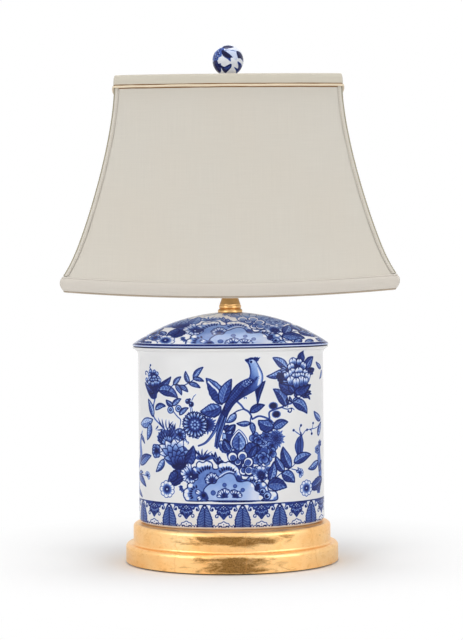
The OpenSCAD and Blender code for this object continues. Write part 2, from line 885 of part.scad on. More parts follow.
module shade_spider() {
    inner = wire_in + frame_wire / 2 + 0.3 + arm_d / 2 * sin(atan2(spider_drop, top_d / 2));
    mid = spider_z + spider_t / 2;
    reach_x = top_w / 2 + bow_short * bow_top - inner;
    reach_y = top_d / 2 + bow_long * bow_top - inner;
    color("silver") difference() {
        union() {
            translate([0, 0, spider_z]) cylinder(r = washer_r, h = spider_t);
            translate([0, 0, mid]) for (i = [0:3]) rotate([0, 0, 90 * i])
                spider_arm(i % 2 == 0 ? reach_x : reach_y);
        }
        translate([0, 0, spider_z - sunk - arm_d])
            cylinder(d = stud_d + 2 * loose, h = spider_t + 2 * sunk + 2 * arm_d);
        translate([0, 0, spider_z - arm_d]) cylinder(r = washer_r, h = arm_d);
        translate([0, 0, spider_top]) cylinder(r = insert_flange_r + loose, h = 2 * arm_d);
    }
}

// Finial

module finial_insert() {
    bore = stud_d / 2 + running;
    bore_h = stud_l;
    cup_z = insert_h - cup_h / 2;
    color("goldenrod") translate([0, 0, insert_z]) difference() {
        turned([
            [0, 0], [insert_flange_r - 0.4, 0], [insert_flange_r, 0.4],
            [insert_flange_r, insert_flange_t - 0.4], [insert_flange_r - 0.4, insert_flange_t],
            [insert_r, insert_flange_t + 1], [insert_r, cup_z - 2],
            [cup_r, cup_z], [cup_r, cup_z + cup_h], [spigot_r, cup_z + cup_h],
            [spigot_r, insert_h + spigot_l], [0, insert_h + spigot_l]
        ]);
        translate([0, 0, -sunk]) cylinder(r = bore, h = bore_h + sunk);
        translate([0, 0, insert_h + ball_d / 2]) difference() {
            sphere(d = ball_d + 2 * running);
            cylinder(r = spigot_r, h = ball_d * 2, center = true);
        }
    }
}

module finial_ball() {
    color("lightsteelblue") translate([0, 0, ball_z]) difference() {
        sphere(d = ball_d);
        translate([0, 0, -ball_d / 2 - sunk]) cylinder(r = spigot_r + running, h = spigot_l + sunk + 0.5);
    }
}

base_felt();
wood_base();
cord_bushing();
rod_washer();
rod_nut();
threaded_rod();
jar();
lid();
seat_ring();
brass_neck();
harp_saddle();
socket_cap();
socket_shell();
socket_liner();
socket_core();
terminal_screws();
screw_shell();
centre_contact();
switch_shaft();
switch_knob();
bulb_cap();
bulb_contact();
bulb_glass();
harp_loop();
harp_stud();
left_sleeve();
right_sleeve();
shade_spider();
shade_top_wire();
shade_bottom_wire();
shade_ribs();
shade_cover();
shade_lining();
shade_top_band();
shade_top_piping();
shade_hem_band();
shade_hem_piping();
shade_corner_tapes();
finial_insert();
finial_ball();
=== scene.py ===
# Looks of the oval porcelain jar lamp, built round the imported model.
# Drawing and mesh code works in millimetres; mesh_piece() and grid_piece() turn them into metres.
import bpy
import json
import math
import numpy as np
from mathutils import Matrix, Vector


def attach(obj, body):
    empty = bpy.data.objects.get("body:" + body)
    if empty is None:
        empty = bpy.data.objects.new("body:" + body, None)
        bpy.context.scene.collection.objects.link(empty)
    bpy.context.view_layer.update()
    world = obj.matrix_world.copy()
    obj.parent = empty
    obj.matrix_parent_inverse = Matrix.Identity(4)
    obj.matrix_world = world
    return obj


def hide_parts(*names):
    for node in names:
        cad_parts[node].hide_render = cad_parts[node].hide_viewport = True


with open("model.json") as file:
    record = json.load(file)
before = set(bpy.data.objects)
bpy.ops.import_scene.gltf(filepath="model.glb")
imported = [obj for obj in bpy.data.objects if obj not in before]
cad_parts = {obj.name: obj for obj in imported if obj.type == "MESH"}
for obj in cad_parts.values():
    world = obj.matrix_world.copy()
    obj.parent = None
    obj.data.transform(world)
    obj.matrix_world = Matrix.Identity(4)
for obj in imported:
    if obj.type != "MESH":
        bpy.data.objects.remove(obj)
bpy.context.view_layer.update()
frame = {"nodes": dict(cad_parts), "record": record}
NODES = frame["nodes"]
MM = 0.001

# The photograph's camera, level but a hair rolled
CAMERA_AWAY, CAMERA_HEIGHT = 1655, 298    # mm from the lamp's middle and over the floor
CAMERA_ROLL = math.radians(0.5)
SENSOR, LENS = 36, 90


def make_camera():
    """The photograph's camera."""
    data = bpy.data.cameras.new("camera")
    cam = bpy.data.objects.new("camera", data)
    bpy.context.scene.collection.objects.link(cam)
    bpy.context.scene.camera = cam
    data.sensor_fit = "VERTICAL"
    data.sensor_width = data.sensor_height = SENSOR
    data.lens = LENS
    data.shift_x = 0.0027
    data.shift_y = -0.075
    data.clip_start = 0.05
    data.clip_end = 50
    cam.location = (0, -CAMERA_AWAY * MM, CAMERA_HEIGHT * MM)
    cam.rotation_euler = (math.radians(90), CAMERA_ROLL, 0)


make_camera()
bpy.context.scene.view_settings.view_transform = "Standard"


# Node materials

class Graph:
    """The nodes of a material or world, and short calls that add to them."""

    def __init__(self, owner):
        owner.use_nodes = True
        self.tree = owner.node_tree
        self.tree.nodes.clear()

    def node(self, kind, inputs=None, **props):
        n = self.tree.nodes.new(kind)
        for key, value in props.items():
            setattr(n, key, value)
        for key, value in (inputs or {}).items():
            self.put(n.inputs[key], value)
        return n

    def put(self, socket, value):
        if isinstance(value, bpy.types.NodeSocket):
            self.tree.links.new(value, socket)
        elif isinstance(value, bpy.types.Node):
            self.tree.links.new(value.outputs[0], socket)
        else:
            socket.default_value = value

    def scaled(self, vector, scale):
        return self.node("ShaderNodeMapping", {"Vector": vector, "Scale": scale}).outputs[0]

    def noise(self, vector, scale, detail=3.0, rough=0.55, twist=0.0):
        n = self.node("ShaderNodeTexNoise", {"Vector": vector, "Scale": scale, "Detail": detail,
                                             "Roughness": rough, "Distortion": twist})
        return n.outputs["Fac"]

    def cells(self, vector, scale, feature="F1"):
        n = self.node("ShaderNodeTexVoronoi", {"Vector": vector, "Scale": scale}, feature=feature)
        return n.outputs["Distance"]

    def wave(self, vector, scale, twist=0.0, direction="X", detail=2.0, detail_scale=1.0):
        n = self.node("ShaderNodeTexWave", {"Vector": vector, "Scale": scale, "Distortion": twist,
                                            "Detail": detail, "Detail Scale": detail_scale},
                      bands_direction=direction)
        return n.outputs["Fac"]

    def ramp(self, fac, stops):
        n = self.node("ShaderNodeValToRGB", {"Fac": fac})
        elements = n.color_ramp.elements
        while len(elements) < len(stops):
            elements.new(0.5)
        for e, (spot, colour) in zip(elements, stops):
            e.position = spot
            e.color = (*colour, 1)
        return n.outputs["Color"]

    def span(self, value, low, high, to_low=0.0, to_high=1.0):
        n = self.node("ShaderNodeMapRange", {"Value": value, "From Min": low, "From Max": high,
                                             "To Min": to_low, "To Max": to_high})
        return n.outputs["Result"]

    def math(self, how, a, b=0.0, clamp=False):
        n = self.node("ShaderNodeMath", operation=how, use_clamp=clamp)
        self.put(n.inputs[0], a)
        self.put(n.inputs[1], b)
        return n.outputs[0]

    def times(self, a, b):
        return self.math("MULTIPLY", a, b)

    def plus(self, a, b, clamp=False):
        return self.math("ADD", a, b, clamp)

    def less(self, a, b, clamp=False):
        return self.math("SUBTRACT", a, b, clamp)

    def mix(self, fac, a, b, how="MIX"):
        n = self.node("ShaderNodeMix", data_type="RGBA", blend_type=how)
        self.put(n.inputs[0], fac)
        for i, v in ((6, a), (7, b)):
            self.put(n.inputs[i], (*v, 1) if isinstance(v, tuple) else v)
        return n.outputs[2]

    def axis(self, vector, i):
        n = self.node("ShaderNodeSeparateXYZ", {"Vector": vector})
        return n.outputs[i]

    def seen(self):
        """1 for a ray that comes straight from the camera, off metal or gloss, or through glass."""
        rays = self.node("ShaderNodeLightPath").outputs
        bounced = self.math("MAXIMUM", rays["Is Glossy Ray"], rays["Is Transmission Ray"])
        return self.math("MAXIMUM", rays["Is Camera Ray"], bounced)


class Shader(Graph):
    """A material on one Principled node."""

    def __init__(self, name, **sockets):
        self.mat = bpy.data.materials.new(name)
        super().__init__(self.mat)
        self.out = self.node("ShaderNodeOutputMaterial")
        self.bsdf = self.node("ShaderNodeBsdfPrincipled")
        self.tree.links.new(self.bsdf.outputs[0], self.out.inputs["Surface"])
        self.where = None
        for key, value in sockets.items():
            self.set(key, value)

    def set(self, key, value):
        """A Principled socket by a plain name, such as base_color or roughness."""
        label = {"specular_ior_level": "Specular IOR Level"}.get(key, key.replace("_", " ").title())
        if isinstance(value, tuple) and len(value) == 3:
            value = (*value, 1)
        self.put(self.bsdf.inputs[label], value)

    def coords(self, scale=(1, 1, 1)):
        if self.where is None:
            self.where = self.node("ShaderNodeTexCoord").outputs["Object"]
        return self.scaled(self.where, scale)

    def attribute(self, name, scale=(1, 1, 1)):
        return self.scaled(self.node("ShaderNodeAttribute", attribute_name=name).outputs["Vector"], scale)

    def bump(self, height, strength, distance):
        n = self.node("ShaderNodeBump", {"Height": height, "Strength": strength, "Distance": distance})
        if self.bsdf.inputs["Normal"].is_linked:
            self.put(n.inputs["Normal"], self.bsdf.inputs["Normal"].links[0].from_socket)
        self.put(self.bsdf.inputs["Normal"], n.outputs[0])


def rgb(r, g, b):
    """A colour as it looks on screen, 0 to 255, turned into the shader's linear values by the sRGB curve."""
    return tuple(c / 255 / 12.92 if c <= 10.31 else ((c / 255 + 0.055) / 1.055) ** 2.4 for c in (r, g, b))


def darker(colour, *shares):
    """A colour times one share, or a share for each of its three values."""
    return tuple(c * f for c, f in zip(colour, shares * 3 if len(shares) == 1 else shares))


def wave_scale(pitch):
    """Scale of a wave texture that repeats at every pitch: at scale 1 it does so at 2 pi / 20."""
    return 2 * math.pi / pitch / 20


def cloth(name, colour, thread=0.42, tint=0.02, slub=0.3, sheen=0.25):
    """Plain weave. The attribute weave holds each point's place on the flat cloth, in millimetres."""
    s = Shader(name, roughness=0.85, sheen_weight=sheen, sheen_roughness=0.4, specular_ior_level=0.25)
    flat = s.attribute("weave")
    wave = wave_scale(thread)
    warp = s.wave(flat, wave, 0.35, "X", 1.0, 3.0)
    weft = s.wave(flat, wave * 0.94, 0.35, "Y", 1.0, 3.0)
    checks = s.times(warp, weft)
    slubs = s.noise(s.attribute("weave", (0.03, 1.1, 1)), 1.0, 5, 0.6)
    uprights = s.noise(s.attribute("weave", (1.3, 0.02, 1)), 1.0, 4, 0.6)
    threads = s.mix(0.5, slubs, uprights)
    cloud = s.noise(s.attribute("weave", (0.011, 0.009, 1)), 1.0, 4, 0.5)
    dark = darker(colour, 1 - 2.2 * tint)
    light = tuple(min(1, c * (1 + tint)) for c in colour)
    base = s.mix(s.span(threads, 0.36, 0.64), dark, light)
    base = s.mix(s.span(cloud, 0.35, 0.68, 0.0, 0.35), base, darker(colour, 1.0, 0.955, 0.91))
    base = s.mix(s.times(s.span(checks, 0.0, 0.35, 0.06, 0.0), 1.0), base, darker(colour, 0.6))
    s.set("base_color", base)
    s.bump(checks, 0.12, 0.0001)
    s.bump(threads, slub, 0.00018)
    return s.mat


def brass(name, colour, rough, rings=True, tarnish=0.3):
    """Satin or polished brass with turning lines, dull patches and small scratches."""
    s = Shader(name, metallic=1.0)
    spot = s.coords()
    cloud = s.noise(spot, 70, 5, 0.6)
    spots = s.noise(spot, 900, 3, 0.6)
    base = s.mix(s.span(cloud, 0.42, 0.72, 0.0, tarnish), colour, darker(colour, 0.55, 0.47, 0.36))
    base = s.mix(s.span(spots, 0.62, 0.74, 0.0, 0.45), base, darker(colour, 0.45))
    s.set("base_color", base)
    lines = s.noise(s.coords((1, 1, 60) if rings else (30, 30, 4)), 60, 3, 0.7)
    s.set("roughness", s.plus(s.span(lines, 0.3, 0.7, rough * 0.75, rough * 1.15),
                              s.span(cloud, 0.4, 0.8, 0.0, 0.14)))
    s.bump(lines, 0.12, 0.00015)
    return s.mat


def steel(name, colour, rough):
    """Grey metal with fine lines along Z and a dull cloud."""
    s = Shader(name, metallic=1.0)
    spot = s.coords()
    cloud = s.noise(spot, 90, 5, 0.6)
    s.set("base_color", s.mix(s.span(cloud, 0.4, 0.75, 0.0, 0.5), colour, darker(colour, 0.62)))
    lines = s.noise(s.coords((8, 8, 70)), 40, 3, 0.7)
    s.set("roughness", s.span(lines, 0.3, 0.7, rough * 0.8, rough * 1.3))
    s.bump(lines, 0.15, 0.0001)
    return s.mat


def thread_brass(name):
    """The rod's thread, 27 turns to the inch."""
    s = Shader(name, metallic=1.0)
    turn = s.wave(s.coords(), wave_scale(0.00094), 0.0, "Z", 0.0)
    cloud = s.noise(s.coords(), 200, 4)
    s.set("base_color", s.mix(s.span(cloud, 0.35, 0.7), rgb(206, 164, 92), rgb(140, 104, 54)))
    s.set("roughness", s.span(cloud, 0.3, 0.7, 0.3, 0.5))
    s.bump(turn, 0.8, 0.0005)
    return s.mat


def plastic(name, colour, rough, mottle=0.2):
    """Moulded plastic with a slight mottle."""
    s = Shader(name, specular_ior_level=0.5)
    cloud = s.noise(s.coords(), 120, 5, 0.6)
    grain = s.noise(s.coords(), 2600, 2, 0.5)
    s.set("base_color", s.mix(s.span(cloud, 0.35, 0.7), colour, darker(colour, 1 - mottle)))
    s.set("roughness", s.span(cloud, 0.3, 0.7, rough * 0.8, rough * 1.2))
    s.bump(grain, 0.15, 0.00006)
    return s.mat


def card(name):
    """Brown card of the socket's liner."""
    s = Shader(name, roughness=0.9)
    fibre = s.noise(s.coords((1, 1, 0.2)), 1500, 5, 0.7)
    cloud = s.noise(s.coords(), 160, 4)
    s.set("base_color", s.mix(s.span(fibre, 0.3, 0.7), rgb(196, 170, 128), rgb(150, 124, 86)))
    s.bump(s.mix(0.5, fibre, cloud), 0.4, 0.0001)
    return s.mat


def felt(name):
    """Dark green felt."""
    s = Shader(name, roughness=1.0, sheen_weight=0.5, sheen_roughness=0.6, specular_ior_level=0.1)
    fibre = s.noise(s.coords(), 1400, 8, 0.75, 1.5)
    cloud = s.noise(s.coords(), 60, 4)
    base = s.mix(s.span(fibre, 0.35, 0.65), rgb(38, 52, 34), rgb(66, 84, 56))
    s.set("base_color", s.mix(s.span(cloud, 0.35, 0.7, 0.0, 0.4), base, rgb(46, 58, 44)))
    s.bump(fibre, 0.8, 0.0006)
    return s.mat


def glass(name):
    """White frosted glass of the bulb, which is off."""
    s = Shader(name, specular_ior_level=0.5, coat_weight=0.2, coat_roughness=0.15)
    cloud = s.noise(s.coords(), 55, 4)
    s.set("base_color", s.mix(s.span(cloud, 0.35, 0.7), rgb(244, 243, 238), rgb(234, 232, 225)))
    s.set("roughness", s.span(cloud, 0.3, 0.7, 0.28, 0.4))
    s.bump(s.noise(s.coords(), 3000, 2), 0.08, 0.00005)
    return s.mat


# Cobalt from the thinnest wash to the deepest line
BLUE_STOPS = [(0.0, rgb(232, 234, 238)), (0.10, rgb(206, 214, 234)), (0.28, rgb(146, 173, 222)),
              (0.38, rgb(112, 144, 206)), (0.50, rgb(62, 90, 164)), (0.66, rgb(30, 52, 128)),
              (0.82, rgb(6, 20, 88)), (1.0, rgb(0, 2, 52))]


def glaze(name, painted=False, white=(rgb(225, 225, 225), rgb(218, 218, 219))):
    """Glazed porcelain. A painted piece carries the brush's strength per point in the attribute tone."""
    s = Shader(name, specular_ior_level=0.22, coat_weight=0.08, coat_roughness=0.04)
    spot = s.coords()
    cloud = s.noise(spot, 9, 3)
    white = s.mix(s.span(cloud, 0.35, 0.7), *white)
    if painted:
        tone = s.node("ShaderNodeAttribute", attribute_name="tone").outputs["Fac"]
        grain = s.noise(spot, 1700, 4, 0.7)
        pool = s.noise(spot, 260, 4, 0.6)
        speckled = s.plus(tone, s.times(s.times(s.less(grain, 0.5), 0.5), s.times(tone, s.less(1.15, tone))))
        pooled = s.plus(speckled, s.times(s.less(pool, 0.5), s.times(tone, 0.28)), clamp=True)
        ink = s.ramp(pooled, BLUE_STOPS)
        white = s.mix(s.span(tone, 0.0, 0.03), white, ink)
    s.set("base_color", white)
    s.set("roughness", s.span(s.noise(spot, 120, 4), 0.3, 0.7, 0.12, 0.2))
    s.bump(s.noise(spot, 55, 2), 0.035, 0.0012)
    pits = s.cells(spot, 210)
    s.bump(s.span(pits, 0.02, 0.09), 0.05, 0.0002)
    return s.mat


# Each step's face on the base, in metres: the painted dark reflection fades out to its top edge and in from
# its foot
STEP_FACES = (((0.0385, 0.035), (0.0255, 0.0295)), ((0.0195, 0.016), (0.0, 0.004)))


def gold_leaf(name):
    """Loose leaf on red bole: laps between leaves, fine cracks, and a darker, rougher patch at the middle of
    the long sides, which is a painted dark reflection.
    """
    s = Shader(name)
    spot = s.coords()
    x, y, z = (s.axis(spot, i) for i in range(3))
    gold, pale = rgb(249, 190, 119), rgb(250, 210, 151)
    reflection_bronze, reflection_brown, bole = rgb(128, 90, 36), rgb(80, 52, 20), rgb(170, 80, 42)
    cloud = s.noise(spot, 26, 5, 0.55)
    wrinkle = s.noise(s.coords((1, 1, 1.6)), 160, 8, 0.66, 0.8)
    base = s.mix(s.span(cloud, 0.3, 0.7), gold, pale)
    base = s.mix(s.span(wrinkle, 0.5, 0.72, 0.0, 0.45), base, rgb(214, 156, 78))
    # a painted dark reflection at the middle of the long sides, in ragged flat patches, where the leaf is
    # also rougher
    off_middle = s.math("ABSOLUTE", s.less(x, 0.002))
    half_width = s.span(z, 0.02, 0.026, 0.07, 0.104)
    reach = s.less(1.0, s.math("DIVIDE", off_middle, half_width), clamp=True)
    side = s.span(s.math("ABSOLUTE", y), 0.05, 0.072)
    flat = s.noise(s.coords((1, 1, 3.2)), 38, 7, 0.68, 0.6)
    faces = s.math("MAXIMUM", *(s.times(s.span(z, *top), s.span(z, *foot)) for top, foot in STEP_FACES))
    dull_dark_reflection = s.times(s.times(reach, side), faces)
    dull_dark_reflection = s.span(s.plus(flat, s.times(dull_dark_reflection, 0.4)), 0.61, 0.83)
    base = s.mix(s.times(dull_dark_reflection, 0.86), base, reflection_bronze)
    # darker specks within the painted dark reflection
    speck = s.noise(s.coords((1, 1, 1.4)), 520, 6, 0.7)
    deep = s.times(s.span(speck, 0.46, 0.66), dull_dark_reflection)
    base = s.mix(s.times(deep, 0.75), base, reflection_brown)
    # laps of the leaves, 80 mm apart, and hairline cracks
    angle = s.math("ARCTAN2", y, x)
    lap = s.math("FRACT", s.plus(s.times(angle, 1.2), s.times(cloud, 0.35)))
    lap = s.span(s.math("ABSOLUTE", s.less(lap, 0.5)), 0.0, 0.012, 1.0, 0.0)
    cracks = s.cells(s.mix(0.93, s.coords((1, 1, 2.2)), wrinkle), 75, "DISTANCE_TO_EDGE")
    hair = s.times(s.span(cracks, 0.0, 0.03, 1.0, 0.0), s.span(cloud, 0.42, 0.62))
    base = s.mix(s.times(lap, 0.3), base, rgb(214, 150, 80))
    base = s.mix(s.times(hair, 0.3), base, bole)
    s.set("base_color", base)
    s.set("metallic", s.span(hair, 0.0, 1.0, 0.97, 0.4))
    s.set("roughness", s.plus(s.span(wrinkle, 0.3, 0.7, 0.26, 0.42), s.times(dull_dark_reflection, 0.1)))
    s.bump(wrinkle, 0.3, 0.0008)
    s.bump(s.plus(lap, hair), 0.25, 0.0003)
    return s.mat


MATERIALS = {
    "felt": felt("felt"),
    "gold_leaf_wood": gold_leaf("gold_leaf"),
    "bushing_plastic": plastic("bushing_plastic", rgb(70, 48, 34), 0.4),
    "plated_steel": steel("plated_steel", rgb(200, 200, 196), 0.3),
    "brass_rod": thread_brass("threaded_brass"),
    "porcelain": glaze("porcelain"),
    "warm_brass": brass("warm_brass", rgb(228, 182, 122), 0.3, tarnish=0.2),
    "pale_brass": brass("pale_brass", rgb(222, 188, 122), 0.3, rings=False),
    "polished_brass": brass("polished_brass", rgb(230, 186, 108), 0.18),
    "liner_card": card("liner_card"),
    "phenolic": plastic("phenolic", rgb(44, 32, 28), 0.3, 0.4),
    "contact_metal": brass("contact_metal", rgb(206, 150, 96), 0.35, rings=False),
    "knob_plastic": plastic("knob_plastic", rgb(58, 36, 26), 0.25, 0.3),
    "solder": steel("solder", rgb(176, 176, 174), 0.4),
    "frosted_glass": glass("frosted_glass"),
    "frame_steel": brass("frame_brass", rgb(214, 188, 132), 0.3, rings=False),
    "shade_cloth": cloth("shade_cloth", rgb(201, 196, 186)),
    "lining_cloth": cloth("lining_cloth", rgb(244, 241, 232), 0.3, 0.02, 0.3, 0.15),
    "piping_cloth": cloth("piping_cloth", rgb(206, 196, 178), 0.42, 0.04, 0.4),
}
SLOT_OF = {part["node"]: part["material_slot"] for part in frame["record"]["subparts"]}
for node_name, node_object in NODES.items():
    node_object.data.materials.clear()
    node_object.data.materials.append(MATERIALS[SLOT_OF[node_name]])


# Mesh helpers

def quads(index, flip=False):
    """Faces between the rows of an index grid. Each row's last point joins its first."""
    right = np.roll(index, -1, axis=1)
    a, b, c, d = index[:-1], right[:-1], right[1:], index[1:]
    return np.stack((a, d, c, b) if flip else (a, b, c, d), axis=-1)


def mesh_piece(name, points, faces, body, slot, replaces=(), maps=None, materials=None, picks=None):
    """An object from points in millimetres. picks gives each face one of the materials."""
    mesh = bpy.data.meshes.new(name)
    points = np.asarray(points, float)
    mesh.from_pydata((points * MM).tolist(), [], [list(map(int, f)) for f in faces])
    finish_mesh(mesh, maps, materials or [MATERIALS[slot]], picks)
    return place(name, mesh, body, replaces)


def grid_piece(name, points, body, slot, closed=False, maps=None, material=None, flip=False, replaces=()):
    """A smooth sheet from a grid of points (rows, columns, 3) in mm. closed joins its columns."""
    rows, cols, _ = points.shape
    mesh = bpy.data.meshes.new(name)
    faces = quads(np.arange(rows * cols).reshape(rows, cols), flip)
    faces = (faces if closed else faces[:, :-1]).reshape(-1, 4)
    mesh.vertices.add(rows * cols)
    mesh.vertices.foreach_set("co", (points * MM).astype(np.float32).ravel())
    mesh.loops.add(faces.size)
    mesh.loops.foreach_set("vertex_index", faces.astype(np.int32).ravel())
    mesh.polygons.add(len(faces))
    mesh.polygons.foreach_set("loop_start", np.arange(0, faces.size, 4, dtype=np.int32))
    mesh.update(calc_edges=True)
    finish_mesh(mesh, maps, [material or MATERIALS[slot]])
    return place(name, mesh, body, replaces)


def finish_mesh(mesh, maps, materials, picks=None):
    """Smooth shading, materials, and the per-point values of maps: three numbers or one for each point."""
    for m in materials:
        mesh.materials.append(m)
    mesh.polygons.foreach_set("use_smooth", [True] * len(mesh.polygons))
    if picks is not None:
        mesh.polygons.foreach_set("material_index", picks)
    for key, values in (maps or {}).items():
        values = np.asarray(values, np.float32)
        wide = values.size == 3 * len(mesh.vertices)
        layer = mesh.attributes.new(key, "FLOAT_VECTOR" if wide else "FLOAT", "POINT")
        layer.data.foreach_set("vector" if wide else "value", values.ravel())
    mesh.validate()
    mesh.update()


def place(name, mesh, body, replaces):
    piece = bpy.data.objects.new(name, mesh)
    bpy.context.scene.collection.objects.link(piece)
    if replaces:
        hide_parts(*replaces)
    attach(piece, body)
    return piece


def smoothed(rough, seed, count, low, high):
    """Smooth random values along a closed loop of count points."""
    r = np.random.default_rng(seed)
    t = np.linspace(0, 2 * math.pi, count, endpoint=False)
    out = np.zeros(count)
    for k in range(low, high):
        out += r.normal() / k ** rough * np.cos(k * t + r.uniform(0, 2 * math.pi))
    return out / max(1e-9, np.abs(out).max())


# Brush work: a canvas of cobalt strength, 0 white to 1 darkest, drawn in millimetres

TAPER = 0.35    # share of a stroke's length over which an end narrows
SOFT = 0.2      # mm round a stroke within which its dots are looked for


class Canvas:
    """A sheet of brush strength over a rectangle, dots of 1/q mm. With a period its sides join."""

    def __init__(self, x0, x1, y0, y1, q=6, period=None):
        self.q, self.x0, self.y0, self.period, self.shift = q, x0, y0, period, 0.0
        self.t = np.zeros((round((y1 - y0) * q), round((x1 - x0) * q)), np.float32)

    def window(self, low, high):
        """The dots between two corners: their place on the sheet, x and y."""
        (j0, j1), (i0, i1) = (
            [int(np.clip(math.floor((v - origin) * self.q), 0, limit)) for v in (low[k], high[k] + 1)]
            for k, origin, limit in ((1, self.y0, self.t.shape[0]), (0, self.x0, self.t.shape[1])))
        x = self.x0 + (np.arange(i0, i1) + 0.5) / self.q
        y = self.y0 + (np.arange(j0, j1) + 0.5) / self.q
        return (slice(j0, j1), slice(i0, i1)), x[None, :], y[:, None]

    def inside(self, outline):
        """The window of an outline and which of its dots lie inside, by counting the edges they cross."""
        p = np.asarray(outline, float)
        win, x, y = self.window(p.min(0), p.max(0))
        mask = np.zeros((y.size, x.size), bool)
        if mask.size:
            q = np.roll(p, -1, axis=0)
            for (ax, ay), (bx, by) in zip(p, q):
                if ay != by:
                    rows = (y >= min(ay, by)) & (y < max(ay, by))
                    mask ^= rows & (x > ax + (y - ay) * (bx - ax) / (by - ay))
        return win, x, y, mask

    def laps(self, low, high):
        """Shifts at which a shape from low to high is drawn, so that it runs on over the joined edges."""
        if self.period is None:
            return [self.shift]
        ways = (self.shift + k * self.period for k in (-1, 0, 1))
        end = self.x0 + self.t.shape[1] / self.q
        return [w for w in ways if high + w > self.x0 and low + w < end]

    def fill(self, outline, tone, alpha=1.0):
        """Fills an outline. tone is a number or a function of x and y."""
        outline = np.asarray(outline, float)
        for way in self.laps(outline[:, 0].min(), outline[:, 0].max()):
            win, x, y, mask = self.inside(outline + [way, 0])
            if mask.any():
                value = tone(x - way, y) if callable(tone) else tone
                part = self.t[win]
                part += (value - part) * (alpha * mask)

    def line(self, points, width, tone=0.9, alpha=1.0, ends=(1.0, 1.0)):
        """A brush line through points. ends scale its width at the start and the end."""
        p = np.asarray(points, float)
        if len(p) < 2:
            return
        run = np.linspace(0, 1, len(p))
        first, last = (np.minimum(1, end + (1 - end) * way / TAPER) for end, way in zip(ends, (run, 1 - run)))
        r = np.maximum(width * (first * last) / 2, 0.03)
        for way in self.laps(p[:, 0].min() - r.max(), p[:, 0].max() + r.max()):
            self.stroke(p + [way, 0], r, tone, alpha)

    def stroke(self, p, r, tone, alpha):
        """A chain of tapered pieces through points p with half widths r."""
        win, x, y = self.window(p.min(0) - r.max() - SOFT, p.max(0) + r.max() + SOFT)
        if not (x.size and y.size):
            return
        mask = np.zeros((y.size, x.size), bool)
        for (ax, ay), (bx, by), ra, rb in zip(p[:-1], p[1:], r[:-1], r[1:]):
            dx, dy = bx - ax, by - ay
            size = dx * dx + dy * dy + 1e-9
            reach = max(ra, rb) + SOFT
            i0 = max(0, int((min(ax, bx) - reach - x[0, 0]) * self.q))
            i1 = int((max(ax, bx) + reach - x[0, 0]) * self.q) + 2
            j0 = max(0, int((min(ay, by) - reach - y[0, 0]) * self.q))
            j1 = int((max(ay, by) + reach - y[0, 0]) * self.q) + 2
            xs, ys = x[:, i0:i1], y[j0:j1]
            t = np.clip(((xs - ax) * dx + (ys - ay) * dy) / size, 0, 1)
            far = (xs - ax - t * dx) ** 2 + (ys - ay - t * dy) ** 2
            mask[j0:j1, i0:i1] |= far < (ra + (rb - ra) * t) ** 2
        part = self.t[win]
        part += (tone - part) * (alpha * mask)

    def at(self, x, y):
        """Strength at points, each the mean of the 9 dots round it."""
        if not hasattr(self, "soft"):
            a = sum(np.roll(self.t, k, 0) for k in (-1, 0, 1)) / 3
            self.soft = sum(np.roll(a, k, 1) for k in (-1, 0, 1)) / 3
        rows, cols = self.soft.shape
        i = np.floor((x - self.x0) * self.q).astype(int) % cols
        j = np.clip(np.floor((y - self.y0) * self.q).astype(int), 0, rows - 1)
        return self.soft[j, i]

    def edge(self, outline, width=0.55, tone=0.9):
        self.line(np.concatenate([outline, outline[:1]]), 1.18 * width, tone)

    def dot(self, centre, r, tone, alpha=1.0, squash=1.0):
        self.fill(oval(centre, r, r * squash), tone, alpha)

    def ringed(self, centre, r, tone, width, line):
        """A dot with an outline."""
        self.dot(centre, r, tone)
        self.edge(oval(centre, r, r), width, line)


def oval(centre, rx, ry, n=20):
    """Points round an oval."""
    a = np.linspace(0, 2 * math.pi, n, endpoint=False)
    return np.stack([rx * np.cos(a), ry * np.sin(a)], axis=1) + centre


def ray(angle):
    """The unit vector at an angle in radians."""
    return np.array([math.cos(angle), math.sin(angle)])


def turned(points, degrees):
    """Points turned about the origin."""
    a = math.radians(degrees)
    c, s = math.cos(a), math.sin(a)
    return np.asarray(points) @ np.array([[c, s], [-s, c]])


def smooth(points, steps=8, closed=False):
    """A smooth curve through the points (Catmull-Rom)."""
    p = np.asarray(points, float)
    if len(p) == 2 and not closed:
        return p[0] + (p[1] - p[0]) * np.linspace(0, 1, steps + 1)[:, None]
    if closed:
        p = np.concatenate([p[-1:], p, p[:2]])
    else:
        p = np.concatenate([2 * p[:1] - p[1:2], p, 2 * p[-1:] - p[-2:-1]])
    t = np.linspace(0, 1, steps, endpoint=False)[:, None]
    out = []
    for a, b, c, d in zip(p[:-3], p[1:-2], p[2:-1], p[3:]):
        square, cube = 2 * a - 5 * b + 4 * c - d, 3 * b - a - 3 * c + d
        out.append(0.5 * (2 * b + (c - a) * t + square * t ** 2 + cube * t ** 3))
    out = np.concatenate(out)
    return out if closed else np.concatenate([out, p[-2:-1]])


def away_from(centre, near, far, a, b):
    """A tone that goes from a at the distance near to b at the distance far."""
    def tone(x, y):
        r = np.hypot(x - centre[0], y - centre[1])
        return a + (b - a) * np.clip((r - near) / (far - near), 0, 1)
    return tone


def spine(base, tip, bend):
    """The bowed middle line of a leaf or blade."""
    base, tip = np.asarray(base, float), np.asarray(tip, float)
    run = tip - base
    side = np.array([-run[1], run[0]])
    t = np.linspace(0, 1, 17)[:, None]
    return base + run * t + side * bend * 4 * t * (1 - t) * 0.5


def normals(p):
    """The unit vectors across a line, to its left."""
    d = np.gradient(p, axis=0)
    d /= np.linalg.norm(d, axis=1)[:, None] + 1e-9
    return np.stack([-d[:, 1], d[:, 0]], axis=1)


